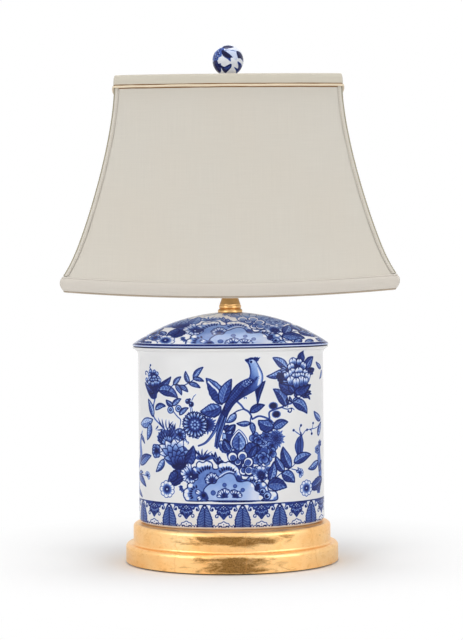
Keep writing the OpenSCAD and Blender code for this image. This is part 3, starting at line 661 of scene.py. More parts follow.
def leaf(c, base, tip, width, bend=0.15, dark=0.74, light=0.52, veins=4, teeth=0, edge=0.85, flip=False,
         rib=0.12, full=0.78):
    """A pointed leaf: one half dark, the other lighter, with a pale rib and fine veins."""
    mid = spine(base, tip, bend)
    n = normals(mid)
    t = np.linspace(0, 1, len(mid))
    half = width / 2 * np.sin(math.pi * t ** full) ** 0.85
    if teeth:
        half = half * (1 + 0.14 * np.abs(np.sin(t * math.pi * teeth)) - 0.07)
    left, right = mid + n * half[:, None], mid - n * half[:, None]
    both = np.concatenate([left, right[::-1]])
    dark, light = 0.74 * dark + 0.03, 0.7 * light
    dark_half = np.concatenate([right if flip else left, mid[::-1]])
    c.fill(both, lambda x, y: light + 0.07 * np.sin(x * 1.7 + y * 1.1))
    c.fill(dark_half, lambda x, y: dark + 0.07 * np.sin(x * 1.3 - y * 1.9))
    for k in range(1, veins + 1):
        i = int(len(mid) * (0.12 + 0.66 * k / (veins + 1)))
        j = min(len(mid) - 1, i + 2)
        for side in (left, right):
            c.line([mid[i], mid[i] * 0.18 + side[j] * 0.82], 0.42, 0.92, 0.85, (1, 0.4))
    if rib is not None and np.linalg.norm(np.subtract(tip, base)) > 5:
        c.line(mid[1:-3], 0.5, 0.95, 0.9, (1, 0.3))
        c.line(mid[1:-3] + [0.35, 0.35], 0.5, rib, 0.9, (1, 0.3))
    c.edge(both, edge, 0.95)


def blade(c, base, tip, width, bend=0.1, tone=0.9, alpha=1.0):
    """A single brush stroke that swells and ends in a point."""
    mid = spine(base, tip, bend)
    n = normals(mid)
    t = np.linspace(0, 1, len(mid))
    half = (width / 2 * np.sin(math.pi * t ** 0.7))[:, None]
    c.fill(np.concatenate([mid + n * half, (mid - n * half)[::-1]]), tone, alpha)


def wash(c, at, tone, *points, steps=4, alpha=1.0):
    """Fills a smooth closed outline through points of a sketch view."""
    c.fill(smooth(line_of(at, *points), steps, True), tone, alpha)


def brush(c, at, width, tone, *points, steps=4, alpha=1.0, ends=(1.0, 1.0)):
    """A smooth line through points of a sketch view."""
    c.line(smooth(line_of(at, *points), steps), width, tone, alpha, ends)


def stem(c, at, width, tone, *points, core=None):
    """A stalk, with a paler core where core gives its tone."""
    p = smooth(line_of(at, *points))
    c.line(p, width, tone, 1.0, (1.0, 0.6))
    if core is not None:
        c.line(p, width * 0.42, core, 1.0, (1.0, 0.5))


def petal_shape(centre, angle, start, length, width, tip="round", lobes=3, full=0.62):
    """Outline of a petal that leaves the centre at an angle (degrees, 90 is up)."""
    t = np.linspace(0, 1, 13)
    if tip == "point":
        half = width / 2 * np.sin(math.pi * t ** full) ** 0.9
        side = np.stack([start + length * t, half], axis=1)
        shape = np.concatenate([side, side[::-1] * [1, -1]])
    else:
        half = width / 2 * np.sin(math.pi * t ** full * 0.5) ** 0.9
        reach = length - width * 0.32
        side = np.stack([start + reach * t, half], axis=1)
        a = np.linspace(math.pi / 2, -math.pi / 2, 4 * lobes + 1)
        bump = 1 + (0.16 * np.abs(np.cos((a - math.pi / 2) * lobes)) if tip == "lobed" else 0)
        out = start + reach + width * 0.34 * np.cos(a) * bump
        cap = np.stack([out, width / 2 * np.sin(a) * (0.86 + 0.14 * bump)], axis=1)
        shape = np.concatenate([side[:-1], cap, side[:-1][::-1] * [1, -1]])
    return turned(shape, angle) + centre


def petal(c, centre, angle, start, length, width, tip="round", pale=0.04, deep=0.5, veins=3, edge=0.55,
          lobes=3, full=0.62, line=0.88):
    """A petal, pale at its end and washed deeper towards the heart, with fine veins and a dark edge."""
    shape = petal_shape(centre, angle, start, length, width, tip, lobes, full)
    heart = centre + start * ray(math.radians(angle))
    c.fill(shape, away_from(heart, 0.12 * length, 0.85 * length, deep, pale))
    for k in range(veins):
        f = (k - (veins - 1) / 2) / max(1, veins)
        vein = [[start + 0.15 * length, f * width * 0.35],
                [start + (0.72 - abs(f) * 0.3) * length, f * width * 0.85]]
        c.line(turned(vein, angle) + centre, 0.26, min(1, deep + 0.25), 0.75, (1, 0.3))
    c.edge(shape, edge, line)


def daisy(c, centre, r, petals=18):
    """A round flower of narrow petals in two layers round a beaded heart."""
    g = np.random.default_rng(1)
    heart = 0.44 * r
    c.dot(centre, 0.8 * r, 0.9)
    for layer, (reach, pale) in enumerate(((1.0, 0.34), (0.97, 0.0))):
        for k in range(petals):
            a = 360 / petals * (k + 0.5 * layer) + g.uniform(-3, 3)
            petal(c, centre, a, heart * 0.8, r * reach - heart * 0.8 + g.uniform(-0.3, 0.3), r * 0.225,
                  "point", pale, 0.74, 1, 0.8, full=1.1, line=0.97)
    c.dot(centre, heart * 1.05, away_from(centre, heart * 0.7, heart * 1.05, 0.8, 0.6))
    for k in range(8):
        c.dot(centre + heart * 0.62 * ray(2 * math.pi * k / 8), heart * 0.19, 0.3)
    c.dot(centre, heart * 0.22, 0.34)


def wheel(c, centre, r, lobes, pale, strokes=2):
    """A round open flower: a pale scalloped rim, dark strokes out of a dark heart."""
    a = np.linspace(0, 2 * math.pi, 10 * lobes, endpoint=False)
    rim = r * (0.86 + 0.14 * np.abs(np.sin(a * lobes / 2)) ** 0.7)
    shape = np.stack([rim * np.cos(a), rim * np.sin(a)], axis=1) + centre
    c.fill(shape, pale)
    c.fill(np.stack([0.66 * rim * np.cos(a), 0.66 * rim * np.sin(a)], axis=1) + centre,
           away_from(centre, 0.15 * r, 0.7 * r, 0.8, 0.2))
    for k in range(lobes * strokes):
        way = ray(2 * math.pi * (k + 0.5) / (lobes * strokes))
        reach = 0.74 if k % 2 else 0.6
        c.line([centre + way * 0.2 * r, centre + way * reach * r], 0.42, 0.85, 1, (1, 0.3))
    for k in range(lobes):
        way = ray(2 * math.pi * k / lobes)
        c.line([centre + way * 0.62 * r, centre + way * 0.86 * r], 0.38, 0.8)
    c.dot(centre, 0.26 * r, 0.88)
    c.dot(centre, 0.11 * r, 0.2)
    c.edge(shape, 0.5, 0.9)


def rosette(c, centre, r, lobes=5, turn=90.0, pale=0.02, middle=0.42):
    """Round petals, each with a pale rim round a blue middle, round a small heart."""
    w = r * min(0.5, 1.85 / lobes)
    for k in range(lobes):
        spot = centre + 0.58 * r * ray(math.radians(turn + 360 / lobes * k))
        c.dot(spot, w, pale)
        c.dot(spot, w * 0.6, away_from(spot, 0, w * 0.6, middle + 0.2, middle - 0.1))
        c.edge(oval(spot, w, w), 0.42, 0.9)
        c.line([centre, spot], 0.4, 0.85)
    c.dot(centre, 0.22 * r, 0.85)
    c.dot(centre, 0.1 * r, 0.15)


def cup(c, centre, r, deep=0.7, lean=(0.0, 0.0)):
    """One round petal with a broad white rim round a blue hollow."""
    c.dot(centre, r, 0.0)
    hub = centre + np.asarray(lean) * r
    c.ringed(hub, 0.6 * r, away_from(hub, 0, 0.6 * r, deep, deep - 0.25), 0.5, 0.9)
    c.edge(oval(centre, r, r), 0.75, 0.95)


def spray(c, centre, r, n, start, stop, tone, width, pale):
    """Narrow pointed petals in a fan, as on a thistle or carnation, each from a fifth of the radius out."""
    for k in range(n):
        a = start + (stop - start) * (k + 0.5) / n
        way = ray(math.radians(a))
        reach = r * (1.0 if k % 2 else 0.82)
        shape = petal_shape(centre, a, 0.2 * r, reach - 0.2 * r, width, "point")
        c.fill(shape, away_from(centre, 0.2 * r, reach, tone, pale))
        c.edge(shape, 0.36, 0.9)
        c.line([centre + way * 0.2 * r, centre + way * reach * 0.8], 0.3, 0.95)


def berry(c, centre, r):
    """A dark berry with a light spot."""
    c.dot(centre, r, 0.88)
    c.dot(centre + [-0.3 * r, 0.3 * r], 0.28 * r, 0.35)


def ring_bud(c, centre, r):
    """A round bud with a dark middle inside a pale ring."""
    c.dot(centre, r, 0.3)
    c.edge(oval(centre, r, r * 1.05), 0.65, 0.95)
    c.dot(centre, 0.46 * r, 0.92)
    c.dot(centre, 0.15 * r, 0.1)


def tendril(c, start, heading, r, turns, width, tone=0.88, left=True):
    """A tendril that leaves at a heading in degrees, rolls up to one side and ends in a dot."""
    side = 1 if left else -1
    h = math.radians(heading)
    hub = start + side * r * np.array([-math.sin(h), math.cos(h)])
    t = np.linspace(0, turns * 2 * math.pi, 18)
    fade = r * (1 - 0.45 * t / t[-1])
    a = h - side * math.pi / 2 + side * t
    p = hub + np.stack([fade * np.cos(a), fade * np.sin(a)], axis=1)
    c.line(p, width, tone, 1, (1, 0.8))
    c.dot(p[-1], width * 0.85, tone)


def cluster(c, centre, r, petals=4, turn=45.0, pale=0.3, deep=0.7):
    """A small full flower of mid blue petals, each paler at its rim."""
    for k in range(petals):
        spot = centre + 0.46 * r * ray(math.radians(turn + 360 / petals * k))
        c.ringed(spot, 0.54 * r, away_from(centre, 0.25 * r, 0.95 * r, deep, pale), 0.6, 0.95)
        for lean in (-0.35, 0.0, 0.35):
            way = turned([spot - centre], math.degrees(lean))[0]
            c.line([centre + 0.5 * way, centre + 1.5 * way], 0.3, 0.86, 0.8, (1, 0.3))
    c.dot(centre, 0.18 * r, 0.95)


def bloom(c, at, rows, pale=0.02, deep=0.66, line=0.95, edge=0.55, scale=1.0):
    """Petals placed one by one from the back, with dark streaks: foot x, y, tip x, y, width in mm."""
    for bx, by, tx, ty, w in rows:
        foot, tip = at(bx, by), at(tx, ty)
        way, angle, size = course(foot, tip)
        petal(c, foot, angle, 0, size, w * scale, "lobed", pale, deep, 0, edge, 2, 0.42, line)
        side = np.array([-way[1], way[0]]) / size
        for f in (-0.3, 0.0, 0.3):
            start = foot + 0.1 * way + side * f * w * scale * 0.6
            stop = foot + (0.72 - abs(f) * 0.3) * way + side * f * w * scale
            blade(c, start, stop, 0.95 * scale, 0, 0.84, 0.7)
        blade(c, tip + 0.04 * way, tip - 0.26 * way, 1.2 * scale, 0, 0.8)


def course(foot, tip):
    """The way from foot to tip, its angle in degrees and its length."""
    way = tip - foot
    return way, math.degrees(math.atan2(way[1], way[0])), float(np.hypot(*way))


def dash_row(c, at, hub, places, reach, width):
    """Dark dashes that point away from a hub."""
    hub = at(*hub)
    for p in places:
        spot = at(*p)
        way = (spot - hub) / np.hypot(*(spot - hub))
        blade(c, spot - way * reach * 0.5, spot + way * reach * 0.5, width, 0, 0.97)


# The sketch views: where each looked at the photograph, and how a dot of it lies on the jar

HALF = 123.74             # mm along the wall from the front centre to a side
WALL = (95.5, 60.0)       # half width and half depth of the jar's wall
BASE_Z, LID_Z = 40.5, 221.8
PHOTO_MIDDLE = (229.8, 272.0)    # dot of the photograph on the camera's axis
DOT_AWAY = 1600           # mm from the camera at which a dot of the photograph spans 1 mm
U = 1 / 9.0               # a dot of the views L and R in dots of the photograph, near enough 1 mm each


def arc_table():
    """X and length of arc along a quarter of the wall's oval, from the front centre."""
    t = np.linspace(0, math.pi / 2, 4000)
    step = np.hypot(WALL[0] * np.cos(t), WALL[1] * np.sin(t))
    run = np.concatenate([[0], np.cumsum((step[1:] + step[:-1]) / 2 * np.diff(t))])
    return WALL[0] * np.sin(t), run


ARC_X, ARC_S = arc_table()


def sketch(X, Y):
    """From a dot of the front view to (way round the wall, height) in mm."""
    u, v = X - PHOTO_MIDDLE[0], PHOTO_MIDDLE[1] - Y
    cos, sin = math.cos(CAMERA_ROLL), math.sin(CAMERA_ROLL)
    x, z = u * cos + v * sin, -u * sin + v * cos
    near = 50.0    # how far in front of the lamp's middle the wall is there
    for _ in range(6):
        wide = x * (CAMERA_AWAY - near) / DOT_AWAY
        near = WALL[1] * math.sqrt(max(0.0, 1 - (wide / WALL[0]) ** 2))
    s = float(np.interp(abs(wide), ARC_X, ARC_S)) * (1 if wide > 0 else -1)
    return np.array([s, CAMERA_HEIGHT + z * (CAMERA_AWAY - near) / DOT_AWAY - BASE_Z])


def view(left, top, zoom):
    """A sketch view: its corner in dots of the photograph, and its enlargement."""
    return lambda x, y: sketch(left + x / zoom, top + y / zoom)


L, R = view(130, 340, 9), view(225, 340, 9)      # the wall's left and right half
A, B, C = view(225, 345, 16), view(175, 450, 14), view(133, 405, 16)    # peony and bird, rock, left cluster


def line_of(at, *points):
    """Points of a sketch, placed by its view."""
    return np.array([at(*p) for p in points])


def leaves(c, at, rows, unit=U, grow=1.05):
    """Leaves by rows: foot x, y, tip x, y, width in units, tones dark and light, what else leaf() takes."""
    for x, y, tip_x, tip_y, width, *rest in rows:
        more = rest.pop() if rest and isinstance(rest[-1], dict) else {}
        leaf(c, at(x, y), at(tip_x, tip_y), width * unit * grow, **dict(zip(("dark", "light"), rest)), **more)


def from_hub(x, y, *tips):
    """Rows for bloom() of petals that share one foot, from each tip's x, y and width."""
    return [(x, y, *tip) for tip in tips]


PEONY = [(1100, 330, 1075, 212, 7), (1190, 330, 1186, 222, 6), (1230, 380, 1272, 280, 6.4),
    (1080, 400, 1040, 300, 7), (1105, 485, 1048, 390, 7.6), (1190, 475, 1178, 360, 8.4),
    (1262, 500, 1302, 395, 6), (1010, 565, 972, 436, 5.4), (1130, 545, 1103, 446, 5.2),
    (1232, 545, 1238, 436, 5.2), (1172, 560, 1162, 440, 5.4), (1292, 610, 1334, 446, 6.6),
    (1072, 650, 1040, 505, 7.2), (1222, 670, 1216, 498, 6.6), (1290, 655, 1292, 516, 5.4),
    (1150, 690, 1136, 528, 7)]


def bud_at(x, y):
    """Lays the peony's dots over the bud at the top left, at 0.6 of their size."""
    return sketch(153.8 + (x - 1170) / 16 * 0.6, 378.6 + (y - 450) / 16 * 0.6)


def stone(x, y):
    """The tone of the rock's face: lighter in the middle and along its foot."""
    high, low = np.clip((y - 38) / 10, 0, 1), np.clip((30.5 - y) / 3.5, 0, 1)
    return 0.24 + 0.09 * high - 0.13 * np.exp(-((x - 24) / 7) ** 2) - 0.22 * low


def rock(c):
    """The scalloped rock with its flowers, which stands on the border."""
    outer = smooth(line_of(B, (205, 715), (140, 680), (118, 620), (132, 560), (172, 528), (176, 486),
        (212, 458), (262, 452), (300, 400), (312, 352), (262, 330), (232, 290), (262, 240), (300, 236),
        (304, 190), (340, 160), (392, 176), (440, 152), (492, 164), (524, 200), (530, 250), (560, 270),
        (604, 258), (606, 206), (660, 172), (712, 176), (750, 160), (812, 190), (868, 226), (906, 290),
        (926, 366), (944, 410), (1000, 412), (1036, 376), (1096, 360), (1150, 386), (1192, 444),
        (1250, 448), (1292, 500), (1312, 566), (1400, 578), (1436, 640), (1402, 706), (1100, 712),
        (600, 712)), 4, True)
    inner = smooth(line_of(B, (480, 712), (404, 580), (440, 510), (500, 470), (566, 462), (600, 402),
        (660, 372), (704, 340), (760, 324), (820, 340), (850, 384), (872, 434), (930, 444), (1020, 430),
        (1090, 466), (1116, 512), (1122, 560), (1180, 592), (1204, 640), (1196, 712)), 4, True)
    c.fill(outer, 0.44)
    # white scallops along the outer edge, softened towards the blue
    for x, y, r in ((265, 285, 38), (340, 205, 42), (395, 200, 34), (446, 190, 36), (498, 205, 32),
            (640, 215, 34), (700, 205, 40), (755, 200, 36), (815, 225, 40), (868, 275, 38), (900, 330, 30),
            (214, 492, 38), (160, 575, 34), (150, 630, 34), (172, 680, 32), (1080, 395, 34),
            (1150, 430, 30), (1240, 480, 30), (1290, 540, 30), (1385, 620, 40), (1340, 600, 30),
            (1350, 660, 36)):
        hub = B(x, y)
        c.dot(hub, r / 14, away_from(hub, 0.4 * r / 14, r / 14, 0, 0.14))
    c.fill(inner, stone)
    dash_row(c, B, (450, 420), ((306, 338), (330, 312), (360, 286), (392, 264), (424, 250), (456, 242),
        (488, 242)), 5, 1.8)
    dash_row(c, B, (740, 420), ((632, 300), (660, 276), (690, 260), (722, 252), (754, 254), (786, 266),
        (816, 284), (842, 306)), 4.6, 1.8)
    dash_row(c, B, (320, 600), ((300, 510), (262, 520), (236, 544), (222, 576), (216, 610), (220, 644),
        (236, 670)), 3.8, 1.7)
    wash(c, B, 0.84, (1128, 480), (1176, 492), (1190, 530), (1166, 566), (1128, 556), steps=3)
    dash_row(c, B, (1060, 520), ((1062, 416), (1090, 418), (1120, 430), (1150, 452), (1172, 484)), 3.6, 1.7)
    wash(c, B, 0.72, (868, 360), (892, 350), (926, 400), (930, 436), (880, 432), (858, 392), steps=3)
    c.dot(B(1092, 492), 2.2, 0.02)
    brush(c, B, 0.9, 0.06, (600, 402), (640, 360), (700, 320), (770, 300), (830, 318))
    c.edge(inner, 0.75, 0.95)
    c.edge(outer, 0.9, 0.96)
    # rings at the right foot
    for x, y, r in ((1228, 578, 46), (1292, 640, 54)):
        c.ringed(B(x, y), r / 14, 0.3, 0.7, 0.92)
        c.dot(B(x - 6, y + 6), 0.55 * r / 14, 0.9)
        c.dot(B(x + 12, y - 6), 0.22 * r / 14, 0.2)
    c.dot(B(1204, 664), 2.4, 0)
    brush(c, B, 0.8, 0.94, (1180, 620), (1220, 640), (1240, 670), (1210, 700))
    # a scalloped white flower on the blue, left
    bloom(c, B, from_hub(540, 440, (432, 452, 3), (420, 396, 3), (450, 350, 3.2), (500, 318, 3.4),
        (556, 326, 3.2), (602, 366, 3.2)), 0, 0.34, 0.94, 0.55)
    for x, y in ((470, 420), (480, 390), (504, 372), (532, 368), (560, 380)):
        c.line([B(540, 446), B(x, y)], 0.34, 0.82, 1, (1, 0.3))
    # the small flower at the left foot
    bloom(c, B, from_hub(400, 640, (296, 572, 4.4), (318, 690, 4.2)), 0, 0.4, 0.94, 0.5)
    wash(c, B, 0.72, (378, 580), (430, 590), (462, 640), (470, 690), (410, 690), (372, 650), steps=3)
    c.dot(B(402, 636), 2, 0.94)
    # white cloud flower in the middle
    for hub, tips in (((700, 656), ((590, 636), (610, 582), (660, 552), (704, 534), (748, 556))),
            ((846, 656), ((790, 566), (826, 556), (868, 572), (912, 586), (936, 630)))):
        bloom(c, B, [(*hub, *t, 3.5) for t in tips], 0, 0.24, 0.93, 0.55)
        c.fill(oval(B(hub[0], hub[1] + 2), 3.4, 1), 0.78)
        for t in tips:
            c.line([B(*hub), B(hub[0] * 0.45 + t[0] * 0.55, hub[1] * 0.45 + t[1] * 0.55)], 0.4, 0.86, 1,
                (1, 0.3))
    for x, y, r in ((694, 490, 26), (842, 506, 24), (536, 600, 32), (948, 560, 26)):
        c.ringed(B(x, y), r / 14, 0.52, 0.4, 0.82)


def jar_scene(c):
    """The jar's scene: a bird on a rock among peonies, daisies and leaves."""
    # left edge: a broad stem with leaves, turning round the side
    trunk = smooth(line_of(L, (112, 820), (97, 930), (100, 1050), (82, 1180), (88, 1330)))
    c.line(trunk, 7, 0.62, 1, (0.2, 0.6))
    c.line(trunk, 4, 0.44, 1, (0.2, 0.6))
    leaves(c, L, [(100, 1120, 192, 1042, 78, 0.78, 0.6, dict(veins=5)),
        (84, 1200, 146, 1318, 66, 0.8, 0.62), (72, 1330, 114, 1412, 46, 0.75, 0.7),
        (98, 850, 134, 930, 30, 0.7, 0.6, dict(veins=0)), (74, 1180, 78, 1050, 34, 0.6, 0.5),
        (90, 1200, 118, 1190, 30, 0.6, 0.4, dict(veins=0))])
    stem(c, L, 0.7, 0.85, (96, 1200), (130, 1215), (160, 1222))
    for a in (150, 100, 55, 10, -35):
        petal(c, L(158, 1222), a, 0, 4.4, 3, "round", 0.1, 0.6, 1, 0.42)

    # bud at the top left with its calyx and tendrils
    stem(c, L, 1.5, 0.85, (228, 520), (212, 600), (216, 690), (262, 750), (300, 792), core=0.42)
    wash(c, L, lambda x, y: 0.78 + 0.06 * np.sin(x * 2.2), (136, 385), (165, 415), (200, 445), (245, 430),
        (300, 395), (285, 440), (248, 478), (238, 525), (196, 528), (165, 480), (148, 430))
    leaves(c, L, [(236, 452, 368, 332, 62, 0.92, 0.8, dict(bend=-0.15, rib=0.3)),
            (214, 480, 138, 382, 40, 0.9, 0.72, dict(rib=None)),
            (258, 452, 428, 520, 92, 0.9, 0.66, dict(veins=6, bend=0.28, flip=True))])
    c.fill(oval(L(218, 376), 7.4, 9.8), 0.8)
    bloom(c, bud_at, PEONY, 0.16, 0.78, 0.96, 0.5, 0.62)
    tendril(c, L(160, 292), 110, 2.4, 0.6, 1.1)
    stem(c, L, 1.1, 0.9, (198, 274), (180, 250), (186, 226))
    c.dot(L(186, 226), 1.1, 0.9)
    for f in (-1, 0, 1):
        blade(c, L(198 + f * 14, 440), L(190 + f * 10, 515), 1, 0, 0.95)
    leaves(c, L, [(208, 690, 166, 532, 56, 0.66, 0.4, dict(bend=-0.1)),
            (232, 628, 320, 596, 46, 0.84, 0.5, dict(bend=0.35)),
            (206, 714, 100, 752, 84, 0.5, 0.32, dict(bend=0.12, full=0.95)),
            (182, 750, 158, 898, 62, 0.62, 0.42, dict(bend=0.12)), (386, 592, 326, 540, 42, 0.78, 0.55),
            (386, 590, 458, 530, 42, 0.7, 0.5)])

    # spray of narrow leaves
    stem(c, L, 0.95, 0.86, (345, 460), (398, 398), (470, 410), (530, 385), (585, 342), (652, 258))
    leaves(c, L, [(395, 405, 458, 332, 40), (410, 405, 464, 494, 38), (448, 412, 520, 466, 38),
        (530, 384, 500, 282, 38), (530, 390, 632, 430, 36), (572, 350, 658, 246, 44),
        (568, 346, 664, 372, 32)])

    # berries
    stem(c, L, 0.7, 0.85, (556, 545), (572, 512), (594, 490))
    stem(c, L, 0.6, 0.8, (532, 590), (546, 622), (540, 662))
    stem(c, L, 0.6, 0.8, (548, 592), (560, 625), (556, 660))
    for x, y, r in ((520, 552, 25), (552, 578, 25), (536, 535, 12)):
        berry(c, L(x, y), r * U)

    # ring buds on a stem
    stem(c, L, 0.95, 0.85, (388, 640), (428, 690), (456, 720), (448, 785))
    ring_bud(c, L(365, 628), 30 * U)
    ring_bud(c, L(436, 617), 28 * U)
    leaf(c, L(448, 674), L(524, 612), 42 * U, 0.2)

    # veined leaves round the tail
    leaves(c, L, [(818, 600, 636, 640, 118, 0.82, 0.6, dict(bend=0.2, veins=7, teeth=6, rib=0.9)),
            (828, 582, 686, 345, 124, 0.86, 0.56, dict(bend=-0.12, veins=6, teeth=5, rib=0.35))], grow=1)
    brush(c, L, 1.5, 0, (706, 376), (748, 420), (792, 462), (812, 545), steps=8)
    brush(c, L, 0.8, 0.93, (716, 366), (765, 412), (806, 456), (822, 545), steps=8)
    leaf(c, L(826, 575), L(914, 352), 100 * U, 0.1, 0.86, 0.66, 6, 0, flip=True)
    # the bank of foliage in the middle
    leaves(c, L, [(860, 820, 885, 765, 60, 0.92, 0.8, dict(bend=0, veins=0)),
        (880, 850, 948, 765, 60, 0.92, 0.85, dict(bend=0, veins=0))], grow=1)
    leaves(c, R, [(15, 850, 88, 762, 60, 0.92, 0.85, dict(bend=0.1, veins=2)),
        (0, 880, 68, 812, 50, 0.8, 0.5, dict(bend=0.1, veins=2))], grow=1)
    c.fill(line_of(L, (838, 835), (868, 850), (866, 900), (832, 890)), 0.3)
    c.edge(line_of(L, (838, 835), (868, 850), (866, 900), (832, 890)), 0.5, 0.9)
    c.fill(line_of(L, (868, 845), (930, 850), (950, 900), (940, 960), (880, 930)), 0.72)
    c.edge(line_of(L, (868, 845), (930, 850), (950, 900), (940, 960), (880, 930)), 0.5, 0.92)
    leaf(c, R(60, 985), R(-5, 890), 60 * U, 0.1, 0.8, 0.5, 4)
    leaf(c, L(905, 1010), L(782, 925), 104 * U, -0.2, 0.62, 0.34, 8, 4, rib=0.05)
    for k, (tip, w) in enumerate(zip(((768, 1010), (735, 1020), (805, 1050), (830, 1085)),
            (28, 24, 34, 40))):
        leaf(c, L(790 + 12 * k, 1120), L(*tip), w * U, 0.1, 0.8, 0.4, 2)

    # daisy and its neighbour
    spray(c, L(700, 762), 88 * U, 18, 0, 360, 0.8, 2.2, pale=0.2)
    c.dot(L(700, 762), 3.6, 0.8)
    daisy(c, L(585, 762), 122 * U)
    tendril(c, L(600, 880), -70, 1.6, 0.5, 0.6)
    tendril(c, L(520, 935), 10, 1.4, 0.4, 0.7)

    # grass blades and carnation
    for b, t, w in (((300, 800), (236, 808), 12), ((305, 800), (252, 690), 14),
            ((312, 800), (288, 702), 14), ((330, 800), (326, 708), 12), ((255, 770), (228, 806), 14),
            ((345, 800), (392, 728), 14), ((370, 820), (352, 715), 16), ((392, 810), (366, 745), 14),
            ((400, 830), (412, 742), 16), ((420, 830), (440, 790), 14), ((650, 1060), (562, 948), 17),
            ((650, 1060), (610, 985), 14), ((655, 1060), (652, 972), 15), ((660, 1060), (705, 985), 14),
            ((665, 1065), (745, 1000), 12)):
        blade(c, L(*b), L(*t), w * U, 0.12, 0.88)
    wash(c, C, 0.6, (1010, 860), (1040, 800), (1120, 812), (1170, 780), (1240, 800), (1290, 850),
        (1200, 884), (1080, 884), steps=3)
    for k in range(8):
        blade(c, C(1120, 884), C(1030 + 34 * k, 822 - 26 * (k % 2)), 1.3, 0.1, 0.92)
    wash(c, C, 0.5, (440, 620), (392, 520), (430, 430), (500, 390), (560, 400), (620, 380), (690, 420),
        (700, 520), (640, 590), (560, 620))
    for k, (x, y) in enumerate(((396, 560), (388, 500), (410, 440), (450, 400), (500, 372), (548, 366),
            (596, 352), (640, 300), (676, 330), (700, 400))):
        leaf(c, C(560, 610), C(x, y), 3.2, 0.1 if k < 5 else -0.1, 0.86, 0.62, 0, rib=None, edge=0.6)
    bloom(c, C, from_hub(560, 640, (520, 500, 5), (590, 500, 5), (470, 560, 5)), 0.3, 0.66, 0.95, 0.6)
    c.fill(oval(C(745, 470), 6, 6.6), 0.56)
    bloom(c, C, from_hub(750, 480, (700, 400, 5), (770, 384, 5), (832, 430, 5.2), (838, 510, 5),
        (780, 570, 5), (700, 545, 4.6)), 0.26, 0.66, 0.95, 0.6)
    c.dot(C(750, 480), 1.2, 0.95)
    for k in range(3):
        blade(c, L(440 + 24 * k, 880), L(480 + 16 * k, 905 + 12 * k), 1.4, 0.2, 0.8)

    # small flower, leaves below
    c.fill(oval(C(372, 735), 5.6, 7.2), 0.6)
    bloom(c, C, from_hub(380, 735, (330, 640, 4.6), (406, 640, 4.4), (316, 700, 4.6), (316, 770, 4.6),
        (350, 836, 4.8), (414, 830, 4.6)), 0.3, 0.72, 0.95, 0.65)
    c.dot(C(386, 735), 1.6, 0.9)
    leaf(c, C(492, 868), C(372, 1064), 6.6, 0.15, 0.7, 0.34, 3, rib=0.1)
    stem(c, C, 0.9, 0.9, (520, 850), (492, 868))
    leaves(c, C, [(760, 1030, 590, 1290, 13.5, 1, 0.92, dict(bend=0.12, veins=6, teeth=6, rib=0.6)),
            (700, 1060, 560, 1230, 8, 0.94, 0.86, dict(bend=0.1, veins=4, teeth=4, rib=0.6))], unit=1, grow=1)
    # pale pointed flower with a blue heart and dark under petals
    c.fill(oval(C(690, 800), 14.5, 12), 0.62)
    for row, pale, deep in ((((620, 760, 424, 634, 7.6), (640, 760, 520, 566, 8), (670, 760, 656, 536, 8),
            (700, 770, 800, 556, 7.8), (620, 780, 420, 770, 6)), 0, 0.6), (((650, 820, 470, 700, 6.6),
            (660, 820, 560, 640, 7.4), (690, 820, 680, 620, 7.4), (720, 830, 800, 660, 7.4),
            (700, 840, 500, 850, 6.6), (760, 860, 880, 720, 6)), 0.3, 0.7), (((720, 900, 560, 760, 6.8),
            (720, 890, 640, 720, 6.8), (730, 890, 740, 716, 6.6), (740, 900, 820, 760, 6.4)), 0.44, 0.68),
            (((740, 960, 610, 830, 8), (750, 960, 830, 800, 6.6), (745, 960, 700, 800, 7.6),
            (745, 960, 770, 810, 6)), 0.5, 0.9)):
        for bx, by, tx, ty, w in row:
            foot, tip = C(bx, by), C(tx, ty)
            way = tip - foot
            petal(c, foot, math.degrees(math.atan2(way[1], way[0])), 0, float(np.hypot(*way)), w, "point",
                pale, deep, 3, 0.65, full=0.9, line=0.95)
    wash(c, C, 0.9, (598, 930), (640, 960), (700, 950), (760, 970), (840, 930), (860, 960), (800, 1020),
        (720, 1036), (640, 1010))
    leaf(c, C(850, 970), C(965, 655), 10.4, -0.12, 0.98, 0.84, 6, 5, rib=0.5)
    # scalloped round flower
    wheel(c, L(334, 1342), 78 * U, 9, 0.02, 3)

    # rock with fringed lobes
    rosette(c, L(925, 1050), 52 * U, 5, 90, 0.02, 0.5)
    rock(c)
    spray(c, L(480, 1330), 46 * U, 6, 140, 260, 0.6, 1.8, pale=0.1)
    c.fill(oval(B(210, 360), 7, 7.6), 0.66)
    bloom(c, B, from_hub(225, 372, (180, 190, 5.6), (84, 300, 6.4), (140, 240, 4.4), (110, 400, 5.6),
        (170, 450, 5.2), (250, 460, 5), (320, 390, 5.6)), 0.02, 0.74, 0.95, 0.6)
    wash(c, B, 0.84, (236, 350), (300, 345), (320, 380), (290, 410), (240, 400), steps=3)
    c.dot(B(225, 372), 1.5, 0.95)
    c.dot(B(225, 372), 0.8, 0.1)
